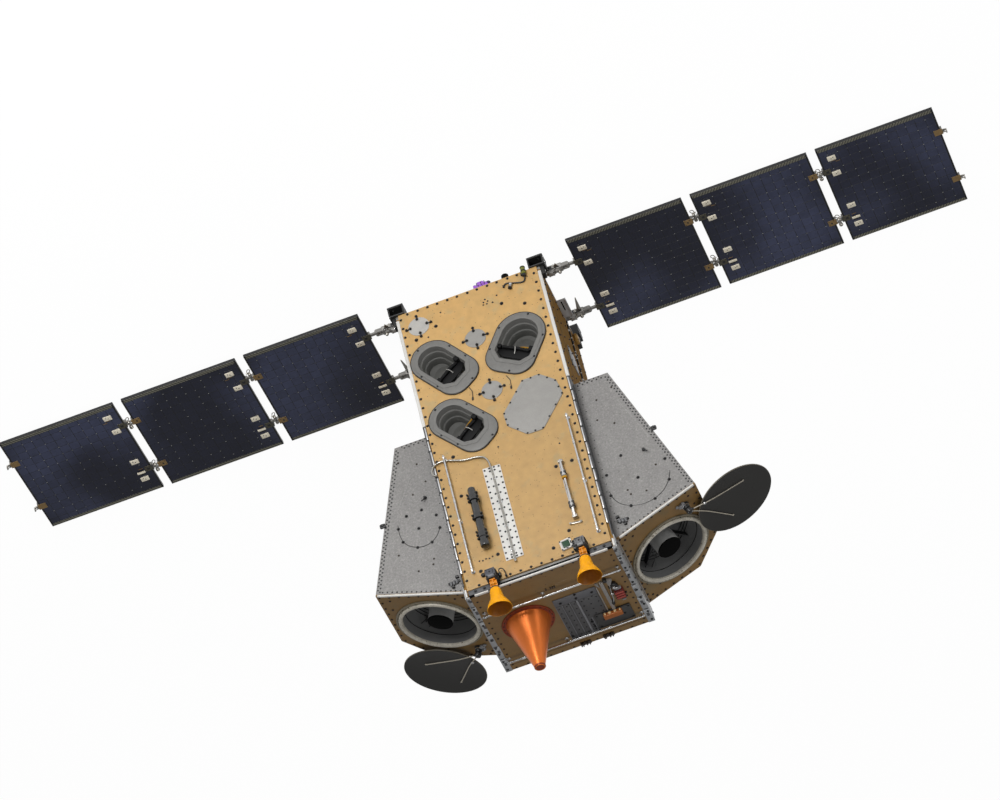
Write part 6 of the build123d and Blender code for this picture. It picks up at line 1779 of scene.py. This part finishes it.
def wing_parts(label, side):
    """Marks, mechanisms, edge bars and small screws of one wing, each riding on its own panel."""
    for number, body_name in enumerate(WING_BODIES):
        body = f"{label}_wing_{body_name}"

        def add(part, shape, finish, **more):
            piece(f"wing_{label}_{part}_{number + 1}", wing_set(shape, side), finish, body, **more)

        start = PANEL_START + number * PANEL_PITCH
        end = start + PANEL_LENGTH
        hinge_node = nodes[f"wing_{label}_hinges_{number + 1}"]
        for slot in hinge_node.material_slots:
            slot.material = hinge_finish(f"hinge_{label}_{number + 1}", side, start)
        marks = [leaf_marks(start, -1, y) for y in HINGE_LINES]
        if number < 2:
            marks += [leaf_marks(end, 1, y, (0.01, 0.016)) for y in HINGE_LINES]
        add("marks", marks, "black")
        if number:
            gear = [fold_mechanism(start - 0.031, FOLD_AXES[number - 1], y) for y in HINGE_LINES]
            add("gear", gear, "silver")
            jaws = [box(start - 0.0125, start - 0.001, y + s * 0.02 - 0.006, y + s * 0.02 + 0.006, 0.0545,
                0.057, 0.001) for y in HINGE_LINES for s in (-1, 1)]
            add("jaws", jaws, "strip_dark", slot="hinge_silver")
        pads = [slab(oblong(start + x - 0.029, start + x + 0.029, WING_MIDDLE + across - 0.023,
            WING_MIDDLE + across + high, 0.003), 0.05, 0.0558, 0.0008)
            for x, across, high in ((0.084, -0.402, 0.023), (0.078, -0.232, 0.023), (0.084, 0.152, 0.023),
            (0.084, 0.366, 0.023), (0.084, 0.304, -0.0025))]
        add("pads", pads, "cream_pad")
        bars = [box(start + x - 0.016, start + x + 0.016, WING_MIDDLE + across - 0.003,
            WING_MIDDLE + across + 0.003, 0.0498, 0.0516, 0.0006) for x,
            across in ((0.092, -0.368), (0.118, -0.352), (0.078, 0.252))]
        add("bars", bars, "hinge_gold")
        spots = [(start + x + dx, WING_MIDDLE + across + dy, 0.0556) for x,
            across in ((0.084, -0.402), (0.078, -0.232), (0.084, 0.152), (0.084, 0.366))
            for dx, dy in ((-0.004, 0.003), (0.011, -0.008))]
        add("pins", bolts(0.003, 0.0016, spots), "rust_dark", slot="foot_black")
        rims = [box(start, end, y - 0.0025, y + 0.0025, 0.029, 0.0508, 0.0008)
            for y in (PANEL_Y0 + 0.0022, PANEL_Y0 + PANEL_CHORD - 0.0022)]
        ends = [box(x - 0.0025, x + 0.0025, PANEL_Y0 + 0.004, PANEL_Y0 + PANEL_CHORD - 0.004, 0.0306, 0.0512,
            0.0008) for x in (start + 0.0022, end - 0.0022)]
        add("frame", [*rims, *ends], "black", slot="cells_navy")
    hooks = []
    for y in HINGE_LINES:
        end = PANEL_START + 2 * PANEL_PITCH + PANEL_LENGTH
        path = [(end + 0.012, y - 0.01, 0.046), (end + 0.03, y - 0.012, 0.048), (end + 0.04, y - 0.012, 0.062),
            (end + 0.034, y - 0.01, 0.073), (end + 0.02, y - 0.008, 0.068)]
        hooks += [bent_tube(path, 0.01, 0.0035, 8), box(end + 0.008, end + 0.026, y + 0.008, y + 0.02, 0.036,
            0.052, 0.002)]
    piece(f"wing_{label}_hooks", wing_set(hooks, side), "silver", f"{label}_wing_outer")


def root_parts(label, side):
    """Chunky root drive on each arm: barrel, collars, cover plate, clamp, side can and the long blade."""
    barrels, rings, darks = [], [], []
    for number, y in enumerate(HINGE_LINES):
        def along_x(profile, x, dy=0.0, z=0.04, sides=28):
            return moved(lathe(profile, sides), (x, y + dy, z), (0, 1, 0), (1, 0, 0))
        barrels.append(along_x([(0.018, 0), (0.031, 0.003), (0.0325, 0.01), (0.0325, 0.052), (0.029, 0.06),
            (0.018, 0.062)], 0.534))
        barrels.append(along_x([(0.012, 0), (0.0245, 0.002), (0.0245, 0.03), (0.018, 0.034), (0.01, 0.036)],
            0.6))
        barrels.append(box(0.548, 0.592, y - 0.02, y + 0.02, 0.066, 0.078, 0.003))
        barrels.append(box(0.612, 0.65, y - 0.03, y - 0.022, 0.028, 0.06, 0.002))
        rings.append(along_x([(0.028, 0), (0.035, 0.001), (0.035, 0.007), (0.028, 0.008)], 0.592))
        rings.append(along_x([(0.028, 0), (0.034, 0.001), (0.034, 0.005), (0.028, 0.006)], 0.542))
        rings.append(moved(spun([(6, 0), (12.5, 2), (12.5, 18), (8.5, 24), (3, 25)], 20),
            (0.628, y + 0.012, 0.056)))
        darks.append(box(0.556, 0.584, y - 0.0345, y - 0.0305, 0.03, 0.05, 0.001))
        darks.append(bolts(0.0034, 0.003, [(0.553 + a * 0.034, y - 0.015 + b * 0.03, 0.0778) for a in (0, 1)
            for b in (0, 1)]))
        darks.append(bent_tube([(0.536, y - 0.022, 0.056), (0.55, y - 0.036, 0.06), (0.6, y - 0.038, 0.058),
            (0.64, y - 0.03, 0.052)], 0.015, 0.0032, 8))
    blade_y = HINGE_LINES[1]
    blade = slab(np.array([(0.606, blade_y - 0.024), (0.64, blade_y - 0.024), (0.6405, blade_y - 0.09),
        (0.64, blade_y - 0.176), (0.632, blade_y - 0.172), (0.618, blade_y - 0.09)]), 0.04, 0.048, 0.002)
    short = slab(np.array([(0.59, HINGE_LINES[0] - 0.024), (0.634, HINGE_LINES[0] - 0.024),
        (0.618, HINGE_LINES[0] - 0.066)]), 0.04, 0.048, 0.002)
    piece(f"root_drive_{label}", wing_set(barrels, side), "actuator")
    piece(f"root_rings_{label}", wing_set([*rings, blade, short], side), "silver")
    piece(f"root_details_{label}", wing_set(darks, side), "black")


for label, side in SIDES:
    wing_parts(label, side)
    root_parts(label, side)
